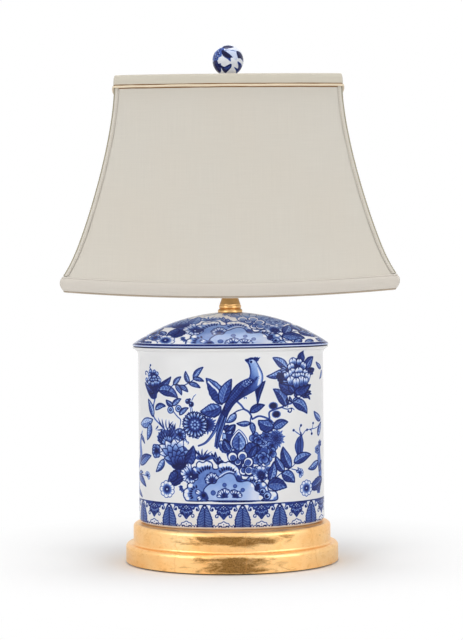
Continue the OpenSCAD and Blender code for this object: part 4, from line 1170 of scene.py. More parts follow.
    # flowers above the rock, right of the middle
    shape = spine(R(125, 1000), R(125, 805), 0)
    t = np.linspace(0, 1, len(shape))
    wide = 75 * U * np.sin(math.pi * t ** 0.72) ** 0.8 * (1 + 0.07 * np.abs(np.sin(t * 24)))
    both = np.concatenate([shape + np.stack([wide, 0 * wide], 1),
        (shape - np.stack([wide, 0 * wide], 1))[::-1]])
    leaf(c, R(40, 1000), R(-10, 900), 70 * U, 0.1, 0.9, 0.8, 4)
    c.fill(both, 0.03)
    c.edge(both, 0.55, 0.9)
    leaf(c, R(125, 1000), R(125, 828), 122 * U, 0, 0.6, 0.46, 8, 0, edge=0.7, rib=0.95)
    c.fill(oval(R(345, 960), 13, 13), 0.62)
    for x, y in ((272, 882), (368, 868), (425, 950), (300, 955), (415, 1015), (352, 1000), (300, 1075),
            (372, 1075)):
        cluster(c, R(x, y), 54 * U, 4, x)
    c.fill(oval(R(340, 1010), 5.5, 4.5), 0.62)
    c.dot(R(458, 885), 6.4, 0.66)
    spray(c, R(458, 885), 92 * U, 16, -90, 200, 0.7, 3, pale=0.14)
    spray(c, R(456, 885), 62 * U, 11, 0, 360, 0.74, 2.6, pale=0.2)
    spray(c, R(456, 885), 34 * U, 7, 0, 360, 0.8, 2, pale=0.3)
    rosette(c, R(345, 932), 44 * U, 6, 90, 0.04, 0.4)
    cluster(c, R(300, 900), 44 * U, 5, 10)
    cluster(c, R(345, 1060), 56 * U, 5, 20, 0.3, 0.66)
    leaves(c, R, [(190, 1020, 318, 985, 128, 0.95, 0.86,
        dict(bend=0.3, veins=7, teeth=6, rib=0.4, flip=True)), (235, 1050, 290, 950, 60, 0.9, 0.85,
        dict(bend=0.1, veins=4, rib=0.3))], grow=1)
    bloom(c, B, from_hub(1220, 372, (1120, 240, 5.4), (1190, 214, 5.2), (1266, 236, 5.2), (1082, 312, 5.4),
        (1310, 300, 5.2), (1120, 392, 4.8), (1326, 372, 4.8)), 0.04, 0.78, 0.95, 0.65)
    c.fill(oval(B(1226, 376), 3.6, 4.4), 0.92)
    for k in range(7):
        blade(c, B(1222, 384), B(1222 + 84 * math.cos(0.35 + k * 0.4), 384 - 96 * math.sin(0.35 + k * 0.4)),
            0.9, 0, 0.95)
    wash(c, B, 0.72, (720, 60), (800, 10), (900, 6), (1010, 30), (1096, 120), (1100, 230), (1096, 330),
        (1010, 372), (930, 350), (900, 250), (800, 180))
    for x, y, r, u, v in ((880, 170, 46, 0, 0.1), (985, 222, 48, 0.1, 0), (806, 96, 66, 0.1, -0.25),
            (944, 82, 68, 0, -0.2), (1028, 168, 66, -0.1, -0.1), (956, 296, 56, 0.1, 0.2),
            (1036, 292, 62, -0.1, 0.1)):
        cup(c, B(x, y), r / 14, 0.68, (u, v))
    leaves(c, R, [(225, 746, 106, 752, 42, 0.66, 0.5, dict(bend=0.1)), (232, 744, 256, 850, 44, 0.66, 0.5),
            (438, 775, 302, 722, 104, 0.86, 0.66, dict(veins=6, bend=0.3, teeth=4)),
            (436, 796, 566, 738, 78, 0.84, 0.62, dict(veins=5, bend=0.2))])
    wheel(c, R(318, 1205), 72 * U, 9, 0.08)
    spray(c, R(330, 1225), 50 * U, 12, 0, 360, 0.92, 1.9, pale=0.4)
    for x, y in ((382, 1168), (262, 1180)):
        rosette(c, R(x, y), 34 * U, 5, 40, 0.06, 0.5)

    # branches of the right half
    for pts, w in ((((108, 552), (148, 590), (172, 622), (208, 642), (236, 682), (246, 712)), 1.7),
            (((75, 662), (118, 636), (172, 622)), 1.2), (((246, 712), (300, 686), (346, 692), (402, 716),
            (436, 745)), 1.7), (((402, 716), (398, 652), (440, 628), (505, 606), (562, 580), (602, 566),
            (640, 522), (654, 470)), 1.6), (((236, 682), (228, 720), (232, 748)), 1.1),
            (((505, 606), (560, 622), (600, 612), (624, 628)), 0.9)):
        stem(c, R, w, 0.9, *pts, core=0.55 if w > 1.5 else None)
    leaves(c, R, [(228, 652, 356, 586, 62, 0.94, 0.84, dict(rib=0.4)),
            (548, 596, 434, 442, 86, 0.9, 0.7, dict(veins=6, bend=-0.22)),
            (608, 560, 738, 660, 92, 0.84, 0.6, dict(veins=6, bend=0.28, flip=True)),
            (95, 662, 14, 742, 54, 0.6, 0.36), (572, 566, 558, 528, 22, 0.9, 0.85, dict(veins=0)),
            (600, 556, 582, 510, 22, 0.9, 0.85, dict(veins=0)),
            (612, 548, 662, 520, 22, 0.9, 0.85, dict(veins=0)),
            (640, 510, 632, 470, 24, 0.9, 0.85, dict(veins=0))])
    for x, y in ((434, 592), (462, 668)):
        c.dot(R(x, y), 42 * U, 0.25, 1, 0.78)
        c.dot(R(x, y), 36 * U, 0.92, 1, 0.76)
        c.edge(oval(R(x, y), 42 * U, 32 * U), 0.35, 0.85)
    tendril(c, R(596, 618), -50, 2.6, 0.55, 1.2, 0.9, False)
    tendril(c, R(560, 604), 20, 1.5, 0.5, 0.7)
    stem(c, R, 0.9, 0.88, (655, 530), (690, 505), (720, 500))
    for b, t, w in (((690, 508), (742, 478), 26), ((716, 500), (772, 462), 24),
            ((720, 498), (776, 486), 20), ((722, 500), (764, 534), 22), ((700, 515), (735, 520), 18)):
        leaf(c, R(*b), R(*t), w * U, 0.25, 0.9, 0.7, 0, rib=None)

    # peony at the top right
    leaves(c, R, [(690, 205, 692, 98, 74, 0.96, 0.88, dict(veins=5, rib=0.5)),
            (722, 262, 792, 152, 84, 0.88, 0.72, dict(veins=5)),
            (745, 290, 802, 262, 40, 0.92, 0.9, dict(veins=0, rib=None)),
            (745, 300, 790, 305, 26, 0.92, 0.9, dict(veins=0, rib=None)),
            (560, 258, 430, 160, 72, 0.82, 0.5, dict(veins=5, bend=-0.1)),
            (545, 262, 376, 326, 62, 0.76, 0.46, dict(veins=5, bend=0.22)),
            (585, 340, 472, 312, 50, 0.8, 0.62, dict(veins=3, teeth=3)),
            (570, 372, 494, 372, 40, 0.84, 0.7, dict(veins=2, teeth=3)),
            (650, 440, 486, 384, 92, 0.9, 0.68, dict(veins=6, bend=0.2, teeth=5)),
            (640, 440, 770, 402, 78, 0.88, 0.62, dict(veins=5, bend=-0.2, teeth=5, flip=True)),
            (640, 400, 578, 474, 60, 0.84, 0.6, dict(veins=3)),
            (655, 420, 690, 478, 46, 0.84, 0.6, dict(veins=2))])
    c.fill(oval(A(1168, 450), 13.2, 15.4), 0.8)
    c.fill(oval(A(892, 510), 3.6, 4.4), 0.84)
    for x, y in ((862, 470), (850, 510), (868, 556), (900, 580), (930, 480)):
        cup(c, A(x, y), 1.7, 0.9)
    for b, t in (((990, 400), (900, 342)), ((990, 410), (880, 396)), ((985, 420), (900, 436))):
        leaf(c, A(*b), A(*t), 3.4, 0.1, 0.6, 0.3, 0, edge=0.7)
    bloom(c, A, PEONY, 0.04, 0.58, 0.95, 0.62, 1.14)
    leaves(c, A, [(1110, 750, 865, 612, 9, 0.92, 0.84, dict(bend=0.2, veins=5, teeth=4, rib=0.5)),
            (1110, 750, 1352, 640, 8.4, 0.94, 0.86, dict(bend=-0.2, veins=5, teeth=4, rib=0.5)),
            (1110, 760, 1020, 640, 6, 0.86, 0.78, dict(bend=0.1, veins=3, rib=0.4))], unit=1, grow=1)
    for k in range(5):
        c.dot(A(1390 + 22 * math.cos(k * 1.26), 405 + 26 * math.sin(k * 1.26)), 1.4, 0.9)

    # pod and leafy spray at the right
    for p in (((686, 862), (618, 812)), ((684, 862), (672, 800), (684, 768)),
            ((690, 862), (722, 818), (738, 808))):
        stem(c, R, 0.8, 0.85, *p)
        c.dot(R(*p[-1]), 1.3, 0.88)
    stem(c, R, 0.7, 0.8, (738, 808), (775, 800), (815, 790), (850, 760))
    for x, y, r in ((780, 842, 13), (792, 748, 12), (770, 806, 8)):
        c.dot(R(x, y), r * U, 0.85)
    stem(c, R, 0.6, 0.85, (775, 800), (782, 842))
    stem(c, R, 0.6, 0.85, (785, 800), (792, 748))
    pod = smooth(line_of(R, (655, 1040), (630, 960), (650, 890), (676, 862), (682, 830), (692, 862),
        (706, 930), (700, 990), (680, 1050)), 5, True)
    c.fill(pod, lambda x, y: 0.6 + 0.1 * np.sin(x * 1.9) + 0 * y)
    c.edge(pod, 0.55, 0.92)
    for k in range(3):
        c.line(line_of(R, (650 + 14 * k, 1030), (655 + 14 * k, 950), (672 + 5 * k, 885)), 0.4, 0.9)
    stem(c, R, 1, 0.88, (386, 1312), (432, 1262), (512, 1196), (592, 1150), (645, 1100))
    leaves(c, R, [(592, 1152, 522, 962, 92, 0.94, 0.64, dict(veins=6)),
            (532, 1180, 458, 1048, 72, 0.84, 0.56, dict(veins=5)),
            (622, 1105, 772, 1030, 84, 0.86, 0.58, dict(veins=6, flip=True)),
            (402, 1272, 440, 1095, 74, 0.84, 0.58, dict(veins=5, bend=-0.1)),
            (512, 1205, 626, 1280, 96, 0.86, 0.6, dict(veins=6, bend=0.2, flip=True)),
            (384, 1308, 556, 1326, 108, 0.92, 0.64, dict(veins=7, bend=0.2, teeth=5))])
    stem(c, R, 0.8, 0.88, (600, 1160), (640, 1170), (665, 1190))
    for a in (140, 95, 50, 10, -30, -75):
        petal(c, R(672, 1196), a, 0, 4.6, 2.8, "round", 0.12, 0.62, 1, 0.42)
    tendril(c, R(640, 1175), -40, 2.2, 0.5, 0.8)

    # right edge
    trunk = smooth(line_of(R, (852, 900), (846, 1050), (856, 1200), (850, 1330)))
    for width, tone in ((7, 0.62), (4, 0.44)):
        c.line(trunk, width, tone, 1, (0.2, 0.6))
    leaves(c, R, [(858, 718, 800, 642, 54, 0.6, 0.36), (838, 860, 862, 735, 52, 0.66, 0.42),
            (834, 1084, 750, 1158, 60, 0.66, 0.42, dict(bend=0.2)),
            (868, 1235, 752, 1330, 100, 0.96, 0.88, dict(veins=4, teeth=5)),
            (862, 250, 818, 198, 36, 0.7, 0.5, dict(veins=0)),
            (868, 270, 850, 348, 30, 0.6, 0.5, dict(veins=0)), (850, 1180, 866, 1080, 40, 0.8, 0.7)])
    rosette(c, R(830, 985), 46 * U, 6, 90, 0.1, 0.5)
    rosette(c, R(852, 930), 36 * U, 6, 90, 0.2, 0.6)
    wheel(c, R(733, 1332), 74 * U, 10, 0.06)
    rosette(c, R(842, 1345), 36 * U, 5, 90, 0.3, 0.65)

    # bird
    tail = [(((925, 500), (888, 560), (846, 640), (808, 720), (772, 800), (728, 872), (678, 926),
        (615, 954)), 44, 10), (((935, 500), (896, 580), (862, 670), (836, 760), (812, 840), (796, 900),
        (782, 975)), 50, 16), (((920, 500), (872, 600), (834, 690), (806, 770), (784, 850), (766, 960)), 40,
        10)]
    for pts, w0, w1 in tail:
        p = smooth(line_of(L, *pts), 6)
        n = normals(p)
        w = (w0 + (w1 - w0) * np.linspace(0, 1, len(p)))[:, None] * U / 2
        shape = np.concatenate([p + n * w, (p - n * w)[::-1]])
        c.fill(shape, lambda x, y: 0.9 + 0 * x + 0 * y)
        c.line(p + n * w * 0.42, 1, 0.36, 0.9, (1, 0.5))
        c.line(p - n * w * 0.46, 0.7, 0.5, 0.9, (1, 0.4))
        c.edge(shape, 0.4, 0.96)
    body = smooth(line_of(R, (180, 180), (205, 170), (236, 158), (268, 168), (284, 196), (306, 236),
        (332, 288), (341, 338), (330, 388), (292, 436), (232, 476), (150, 522), (98, 562), (62, 606),
        (30, 660), (8, 690), (-20, 660), (-8, 610), (12, 550), (45, 485), (80, 430), (115, 395), (170, 362),
        (214, 345), (230, 300), (222, 252), (208, 212)), 4, True)

    def plumage(x, y):
        a = R(120, 420)
        b = R(320, 300)
        t = np.clip(((x - a[0]) * (b[0] - a[0]) + (y - a[1]) * (b[1] - a[1])) / np.sum((b - a) ** 2), 0, 1)
        speck = 0.12 * (np.sin(x * 5.3 + 2 * np.sin(y * 2.1)) * np.sin(y * 6.1 + 2 * np.sin(x * 1.7)) > 0.35)
        return 0.74 - 0.5 * t ** 1.3 + speck
    wedge = line_of(R, (322, 385), (363, 368), (346, 425), (322, 490), (300, 565), (291, 592), (284, 525),
        (272, 460), (300, 432))
    c.fill(wedge, 0.86)
    c.line(line_of(R, (345, 385), (312, 470), (292, 560)), 0.5, 0.45)
    c.edge(wedge, 0.5, 0.95)
    c.fill(body, plumage)
    wash(c, R, 0.03, (292, 240), (318, 282), (330, 335), (320, 384), (292, 412), (300, 360), (304, 318),
        (296, 278), alpha=0.85)
    g = np.random.default_rng(4)
    for _ in range(190):
        u = g.uniform(0, 1)
        a = R(*np.array([300, 330]) * (1 - u) + np.array([130, 500]) * u + g.normal(0, 1, 2) * [9, 9])
        c.line(np.array([a, a + [-0.9, -0.8]]), 0.34, 0.84, 0.75)
    c.edge(body, 0.5, 0.92)
    wing = smooth(line_of(R, (214, 347), (252, 358), (250, 386), (212, 412), (168, 448), (122, 505),
        (72, 555), (30, 610), (0, 640), (0, 590), (20, 545), (50, 482), (90, 425), (130, 385), (178, 358)),
        4, True)
    c.fill(wing, lambda x, y: 0.7 + 0.08 * np.sin((x + y) * 2))
    for k in range(9):
        f = k / 8
        brush(c, R, 0.62, 0.24 if k % 2 else 1, (205 - 60 * f, 375 + 22 * f), (140 - 40 * f, 430 + 22 * f),
            (72 - 42 * f, 500 + 36 * f), (10 - 22 * f, 560 + 58 * f), steps=8, alpha=0.95, ends=(1, 0.4))
    c.edge(wing, 0.5, 0.96)
    for k in range(3):
        for j in range(3 - k // 2):
            x, y = 226 - 24 * j - 10 * k, 352 + 14 * j + 22 * k
            scallop = smooth(line_of(R, (x - 14, y - 12), (x - 16, y + 8), (x, y + 16), (x + 12, y + 6)), 4)
            c.line(scallop, 0.5, 0.96)
            c.line(scallop + [0.25, 0.45], 0.45, 0.2, 0.9)
    brush(c, A, 1.5, 0.66, (384, 300), (404, 360), (412, 440), (404, 520), alpha=0.7, ends=(0.5, 0.5))
    brush(c, A, 0.55, 0.94, (376, 280), (396, 330), (406, 430), (394, 520))
    crest = line_of(A, (380, 214), (410, 204), (440, 210), (486, 192), (500, 204), (520, 194), (524, 208),
        (558, 202), (540, 226), (530, 250), (500, 268), (480, 246), (440, 238), (400, 236))
    c.fill(crest, 0.7)
    c.edge(crest, 0.35, 0.92)
    for x0, y0, x1, y1 in ((410, 222, 540, 212), (430, 230, 520, 236), (470, 216, 500, 256)):
        c.line([A(x0, y0), A(x1, y1)], 0.34, 0.94)
    c.fill(line_of(A, (316, 238), (346, 226), (384, 216), (388, 262), (372, 276), (350, 264), (336, 250)),
        0.86)
    c.dot(A(440, 262), 1.9, 0.2)
    c.dot(A(418, 270), 1.15, 0.98)
    brush(c, A, 0.6, 0.9, (500, 268), (556, 370), (596, 460), (604, 540), (592, 600))
    brush(c, A, 0.35, 0.6, (520, 340), (570, 440), (584, 520), (574, 590))
    for x, y in ((300, 600), (330, 574), (350, 606), (380, 580), (398, 556), (420, 586)):
        brush(c, A, 0.6, 0.95, (x - 16, y + 10), (x, y - 12), (x + 18, y + 8))
        c.dot(A(x, y + 6), 0.7, 0.2)
    blade(c, R(186, 512), R(196, 535), 1, 0, 0.8)
    blade(c, R(176, 512), R(172, 535), 1, 0, 0.8)


PITCH = 495.0 / 13       # mm from one leaf of the border to the next: 13 go round the jar
LEAF_X = 10.8            # mm from the front centre to the middle of a leaf
LOW, TOP = 0.6, 25.6     # heights of the border's foot and of its top line


def mirrored(middle, *half):
    """An outline from its left half, given as distances from the middle and heights."""
    return [[middle - x, y] for x, y in half] + [[middle + x, y] for x, y in half[::-1] if x]


def beside(middle, side, *points):
    """A smooth line from distances to one side of the middle and heights."""
    return smooth([[middle + side * x, y] for x, y in points], 4)


def scroll(c, hub, side, r, start, stop, fade):
    """A scroll round a hub, over angles in radians, that closes in by fade."""
    a = np.linspace(start, stop, 16)
    c.line(hub + r * np.stack([side * np.cos(a), np.sin(a)], 1) * np.linspace(*fade, 16)[:, None], 0.95, 0.88)


def pendant(c, middle):
    """A pendant with two scrolls at each side and a flower in it."""
    c.fill(mirrored(middle, (13.5, TOP), (13, TOP - 3), (9, TOP - 2.6)), 0.66)
    drop = smooth(mirrored(middle, (9.5, TOP - 1), (8.2, 20.6), (6.2, 20.2), (6.8, 17.4), (4.6, 15.4),
                           (2.2, 13), (0, 10.6)), 4)
    c.fill(drop, lambda x, y: 0.72 + 0.1 * np.sin(x * 1.5) * np.sin(y * 0.9))
    c.line(drop, 0.5, 0.92)
    for side in (-1, 1):
        hub = np.array([middle + side * 11.6, 20.6])
        c.dot(hub, 2.4, 0)
        scroll(c, hub, side, 1.9, 1.2, -4.2, (1.1, 0.55))
        c.dot(hub, 0.8, 0.88)
        hub = np.array([middle + side * 6.6, 13.8])
        c.dot(hub, 2.2, 0)
        scroll(c, hub, side, 1.8, 2.4, -3.4, (1.15, 0.5))
        c.line(beside(middle, side, (2, 16.5), (3.4, 18.6), (5.4, 18.4)), 0.45, 0.15)
        c.dot([middle + side * 3.2, 21.2], 0.6, 0.25)
        c.line(beside(middle, side, (4.4, 23.6), (6.4, 22.4), (8.2, 23.4)), 0.45, 0.2)
    for x, y in ((-1.5, 22.6), (0, 21.4), (1.5, 22.6), (0, 23.6)):
        c.dot([middle + x, y], 0.85, 0.12)
        c.edge(oval([middle + x, y], 0.85, 0.85, n=10), 0.3, 0.95)
    c.line(smooth(mirrored(middle, (1.6, 18), (0, 16.8)), 4), 0.5, 0.2)


def medallion(c, middle):
    """Half a medallion on the border's foot."""
    dome = smooth(mirrored(middle, (8, LOW), (8.2, 3.6), (5.8, 4.6), (5, 6.6), (2.6, 7.2), (0, 8.6)), 4)
    c.fill(dome, 0.04)
    c.line(dome, 0.75, 0.9)
    for side in (-1, 1):
        c.line(beside(middle, side, (1.6, 1.2), (2.4, 3.9), (4.6, 3.8), (4.9, 1.8)), 1.25, 0.92)
        c.line(beside(middle, side, (8.4, 3.4), (9.8, 5.4), (10.6, 3.6)), 0.6, 0.85)
        c.dot([middle + side * 10.6, 3], 0.7, 0.85)
    c.dot([middle, 2.6], 1.25, 0.9)
    c.dot([middle, 5.6], 0.6, 0.7)


def feather(c, middle):
    """A feathery leaf from the border's foot to its top line."""
    t = np.linspace(0, 1, 26)
    half = 7.6 * np.minimum(1, (1.02 - t) / 0.62) ** 0.62 * (1 + 0.035 * np.sin(t * 52))
    y = LOW + (TOP - 0.9 - LOW) * t
    shape = np.concatenate([np.stack([middle + half, y], 1), np.stack([middle - half, y], 1)[::-1]])
    c.fill(shape, 0.42)
    for j in range(15):
        foot = LOW + 0.2 + j * 1.62
        wide = float(np.interp((foot + 1.2 - LOW) / (TOP - LOW), t, half))
        for side in (-1, 1):
            tip = foot + 1.5
            c.line(beside(middle, side, (0, foot), (wide * 0.5, tip), (wide * 0.96, tip)), 0.6, 0.86)
    c.line([[middle, LOW], [middle, 22.6]], 0.7, 0.92)
    c.edge(shape, 0.75, 0.9)
    c.dot([middle, 22.6], 1.5, 0.15)
    c.edge(oval([middle, 22.6], 1.3, 1.3), 0.5, 0.9)


def border(c):
    """One repeat of the border, with its neighbours so that they run in at the sides."""
    for k in (-1, 0, 1):
        middle = LEAF_X + k * PITCH
        c.line([[middle - 20, TOP], [middle + 20, TOP]], 1.3, 0.9)
        pendant(c, middle + PITCH / 2)
        medallion(c, middle + PITCH / 2)
        feather(c, middle)


def lid_extra(c):
    """More flowers and leaves low at both ends, which only the lid shows."""
    for at, spots in ((L, ((250, 1190, 6), (188, 1262, 6.6), (262, 1290, 5.4), (150, 1180, 5))),
            (R, ((700, 1272, 6), (640, 1215, 5), (770, 1330, 5.6)))):
        for x, y, r in spots:
            cluster(c, at(x, y), r, 5, x)
    leaves(c, L, [(200, 1330, 110, 1240, 60), (240, 1350, 150, 1402, 62), (180, 1180, 96, 1130, 52),
        (330, 1260, 300, 1170, 56), (420, 1420, 300, 1416, 60), (150, 1300, 60, 1330, 56)])
    leaves(c, R, [(640, 1300, 722, 1396, 62), (600, 1330, 560, 1424, 60), (740, 1240, 834, 1176, 62),
        (760, 1290, 862, 1306, 60), (520, 1330, 470, 1420, 56)])
    spray(c, L(206, 1370), 46 * U, 9, 0, 360, 0.7, 2.4, pale=0.2)
    spray(c, R(690, 1350), 46 * U, 9, 0, 360, 0.7, 2.4, pale=0.2)


# Painted skins: the glaze's colour, a breath outside the white porcelain

BALL_R, BALL_Z = 16.1, 516.7


def ball_point(px, py):
    """From a dot of the ball's front view to mm round its belly and up its side."""
    x, y = (px - 360) / 15.5, (330 - py) / 15.5
    lat = math.asin(float(np.clip(y / BALL_R, -0.97, 0.97)))
    lon = math.asin(float(np.clip(x / (BALL_R * math.cos(lat)), -0.99, 0.99)))
    return np.array([lon * BALL_R, lat * BALL_R])


def ball_scene(c):
    """A spray of leaves and berries, on the front and again on the back."""
    at = ball_point
    c.t += 0.035
    for k in (0, 1):
        c.shift = k * math.pi * BALL_R
        wash(c, at, 0.13, (304, 182), (480, 180), (514, 214), (514, 318), (480, 352), (432, 310), (344, 238))
        wash(c, at, 0.52, (118, 330), (134, 240), (196, 176), (272, 138), (304, 176), (268, 230), (258, 290),
            (216, 308), (190, 352))
        for x, y, r in ((150, 262, 1.3), (200, 206, 1.5), (235, 180, 1.1), (215, 248, 1.4), (164, 306, 1.2),
                (146, 222, 1), (250, 160, 1.2), (190, 290, 1.2)):
            c.dot(at(x, y), r, 0.84)
            c.dot(at(x + 9, y - 9), 0.5 * r, 0.12)
        wash(c, at, 0.92, (276, 138), (300, 114), (370, 102), (455, 126), (400, 158), (330, 176), (296, 156))
        brush(c, at, 0.6, 0.86, (315, 196), (370, 190), (430, 194), (478, 206))
        wash(c, at, 0.98, (264, 190), (300, 194), (360, 238), (436, 310), (404, 320), (402, 376), (350, 334),
            (290, 292), (262, 240))
        wash(c, at, 0.66, (300, 292), (350, 316), (398, 330), (402, 372), (352, 334))
        wash(c, at, 0.86, (120, 366), (184, 350), (208, 402), (248, 408), (250, 510), (224, 534), (160, 478))
        brush(c, at, 0.5, 0.55, (170, 380), (200, 440), (236, 500))
        wash(c, at, 0.9, (246, 430), (304, 456), (400, 412), (418, 446), (376, 502), (320, 544), (280, 512))
        wash(c, at, 0.62, (300, 470), (360, 456), (402, 430), (384, 470), (330, 500))
        wash(c, at, 0.96, (494, 204), (554, 212), (594, 270), (608, 368), (562, 320), (518, 312))
        brush(c, at, 0.4, 0.5, (525, 225), (560, 270), (590, 340))
        wash(c, at, 0.74, (512, 372), (560, 392), (594, 440), (592, 470), (544, 528), (480, 544), (456, 462),
            (512, 478), (522, 430))
        brush(c, at, 0.45, 0.96, (530, 400), (548, 450), (510, 520))
    c.shift = 0


def jar_profile(h):
    """Half width of the jar at height h, and the direction out of its foot, wall and lip."""
    bend, foot = 7.2045, 6.0    # radii of the lip's flare and of the foot
    lip = 172.5                 # height where the flare starts
    up, under = np.maximum(0, h - lip), np.maximum(0, foot - h)
    reach, tuck = np.sqrt(bend ** 2 - up ** 2), np.sqrt(foot ** 2 - under ** 2)
    return WALL[0] + bend - reach - foot + tuck, reach / bend * tuck / foot, -up / bend - under / foot


def oval_point(turn, wide, z, out, n_out, n_up):
    """Point out mm off an oval body of half width wide; turn 0 is the front, a quarter is the right side."""
    squash = WALL[1] / WALL[0]
    nx, ny, nz = n_out * np.sin(turn), -n_out * np.cos(turn) / squash, n_up + 0 * turn
    size = np.sqrt(nx ** 2 + ny ** 2 + nz ** 2)
    return np.stack([wide * np.sin(turn) + out * nx / size, -wide * np.cos(turn) * squash + out * ny / size,
                     z + out * nz / size], axis=-1)


SKIN = 0.13         # mm from the porcelain to its painted skin
SKIN_STEP = 0.5     # mm from point to point of a skin


def turn_at(s):
    """Oval angle at s mm round the wall from the front centre."""
    full = 2 * HALF
    halves = np.round(s / full)
    rest = s - halves * full
    share = np.interp(np.abs(rest), ARC_S, ARC_X) / WALL[0]
    return halves * math.pi + np.sign(rest) * np.arcsin(np.clip(share, 0, 1))


def paint_jar():
    """The four skins of the jar. The scene comes back with more flowers in it, for the lid."""
    scene = Canvas(-HALF, HALF, 0, 181, period=2 * HALF)
    jar_scene(scene)
    edge = Canvas(0, PITCH, 0, 27, 8)
    border(edge)
    h = np.arange(0.9, 178.4, SKIN_STEP)[:, None]
    wide, n_out, n_up = jar_profile(h)
    for k, name in enumerate(("front_left", "front_right", "back_left", "back_right")):
        s = np.linspace((k - 1) * HALF, k * HALF, 1 + round(HALF / SKIN_STEP))[None, :]
        tone = np.where(h < 2.8, 0.0, np.where(h < 26.5, edge.at(s, h), scene.at(s, h)))
        points = oval_point(turn_at(s), wide, BASE_Z + h, SKIN, n_out, n_up)
        grid_piece("jar_glaze_" + name, points, "lamp", "porcelain", maps={"tone": tone}, material=PAINTED)
    del scene.soft
    lid_extra(scene)
    return scene


LID_HALF, LID_RISE = 99.8, 31.3     # half width of the lid's dome and how far it rises
DOME_Z = 3.4                        # height of the dome's foot over the jar's top


def paint_lid(scene):
    """The two skins of the lid: its rim, lined in blue, and the print laid over the dome."""
    bend, top = (LID_HALF ** 2 + LID_RISE ** 2) / (2 * LID_RISE), LID_Z + DOME_Z + LID_RISE
    a = np.radians(np.linspace(-75, 62, 12))
    bead = np.stack([99.3 + 1.7 * np.cos(a), LID_Z + 1.7 + 1.7 * np.sin(a), np.cos(a), np.sin(a)], axis=1)
    r = np.arange(99.5, 13.5, -0.62)
    z = top - bend + np.sqrt(bend ** 2 - r ** 2)
    dome = np.stack([r, z, r / bend, np.sqrt(1 - (r / bend) ** 2)], axis=1)
    wide, z, n_out, n_up = np.concatenate([bead, dome]).T[..., None]
    on_dome = 9.0
    rim = np.concatenate([a, np.full(len(r), on_dome)])[:, None]
    for k, name in enumerate(("left", "right")):
        turn = np.linspace((k - 1) * math.pi, k * math.pi, 470)[None, :]
        points = oval_point(turn, wide, z, SKIN, n_out, n_up)
        side = np.where(points[..., 1] < 0, 1.0, -1.0)
        x, y = points[..., 0] * side, np.abs(points[..., 1])
        front = 62.7 * np.sqrt(np.clip(1 - (x / LID_HALF) ** 2, 0, 1))
        up = 32.5 + np.hypot(front - y, points[..., 2] - LID_Z - DOME_Z) / 1.03
        rise = (points[..., 2] - LID_Z - DOME_Z) / LID_RISE
        tone = scene.at((x - 11) / 1.13, np.clip(up, 27, 180)) * np.clip((y - 0.6) / 1.4, 0, 1)
        # the blue is a little lighter all over the dome and fades towards its top: a painted highlight
        tone *= 0.92 - 0.46 * np.clip((rise - 0.42) / 0.5, 0, 1)
        # a blue line at the dome's foot and two on the rim's bead, with white between them
        edge = LID_Z + 4.15 - points[..., 2]
        for here, blue in ((edge > -0.8, 0.0), (edge > -0.35, 0.72), (rim < on_dome, 0.93),
                ((rim <= 0.35) & (rim > -0.3), 0.13), ((rim < 1.0) & (rim > 0.35), 0.74)):
            tone = np.where(here, blue, tone)
        grid_piece("lid_glaze_" + name, points, "lamp", "porcelain", maps={"tone": tone},
                   material=PAINTED_LID_LIT)


def paint_ball():
    """The ball's skin."""
    half = math.pi * BALL_R
    c = Canvas(-half, half, -half / 2, half / 2, 10, period=2 * half)
    ball_scene(c)
    lat = np.radians(np.linspace(-62, 84, 120))[:, None]
    lon = np.linspace(-math.pi, math.pi, 260)[None, :]
    r = BALL_R + 0.1
    out, z = r * np.cos(lat), BALL_Z + r * np.sin(lat)
    points = np.stack(np.broadcast_arrays(out * np.sin(lon), -out * np.cos(lon), z), axis=-1)
    tone = c.at(lon * BALL_R, lat * BALL_R)
    grid_piece("ball_glaze", points, "finial", "porcelain", maps={"tone": tone}, material=PAINTED)


PAINTED = glaze("painted_porcelain", painted=True)
# The lid's white is lighter than the jar's: painted light on the lid, which lies in the shade's shadow
PAINTED_LID_LIT = glaze("painted_lid_porcelain_lit", painted=True, white=(rgb(250, 250, 253), rgb(243, 244, 250)))
paint_lid(paint_jar())
paint_ball()


# Shade: the same bell as the solids, with folded tapes, welts and sewn corners

TOP_W, TOP_D, FLARE, FLARE_D = 225, 128, 102, 72        # size at the top, and its growth to the hem
BOW_LONG, BOW_SHORT, DIP_LONG, DIP_SHORT = 9, 5, 6.5, 1     # bow of the sides, dip of the hem
SHADE_TOP, SHADE_H = 494.9, 215
TOP_BAND, HEM_BAND, WIRE, COVER_T = 10.5, 14, 2.8, 0.8      # bands, wire and cloth thickness
HEM_Z = SHADE_TOP - SHADE_H
TOP_WIRE_Z = SHADE_TOP - 1.2 - WIRE / 2
WIRE_IN = COVER_T + 0.2 + WIRE / 2
ROLL_Z = HEM_Z + HEM_BAND - 2       # the cloth rolls in below this height
BELL_Z = SHADE_TOP - 15.5           # and flares out below this one
ROLL_OUT, ROLL_IN, BOW_TOP = 1, 3, 0.75
HEM_TOP = ROLL_Z + 2
BAND_LOW = SHADE_TOP - TOP_BAND
LINING_IN = WIRE_IN + WIRE / 2 + 0.3
SIDE_STEPS = 40
RING_POINTS = 4 * SIDE_STEPS
SIDES = ("front", "right", "back", "left")


def down(z):
    """0 where the flare starts, 1 where the hem rolls in."""
    return np.clip((BELL_Z - z) / (BELL_Z - ROLL_Z), 0, 1)


def bell(z):
    """Share of the flare at height z."""
    return 0.9 * down(z) ** 1.5 + 0.1 * down(z) ** 13


def curl(z):
    """How far the hem stands out at height z as it rolls in."""
    rolled = np.maximum(0, (ROLL_Z - z) / (ROLL_Z - HEM_Z))
    return ROLL_OUT * np.sin(np.pi * rolled) - ROLL_IN * rolled ** 2


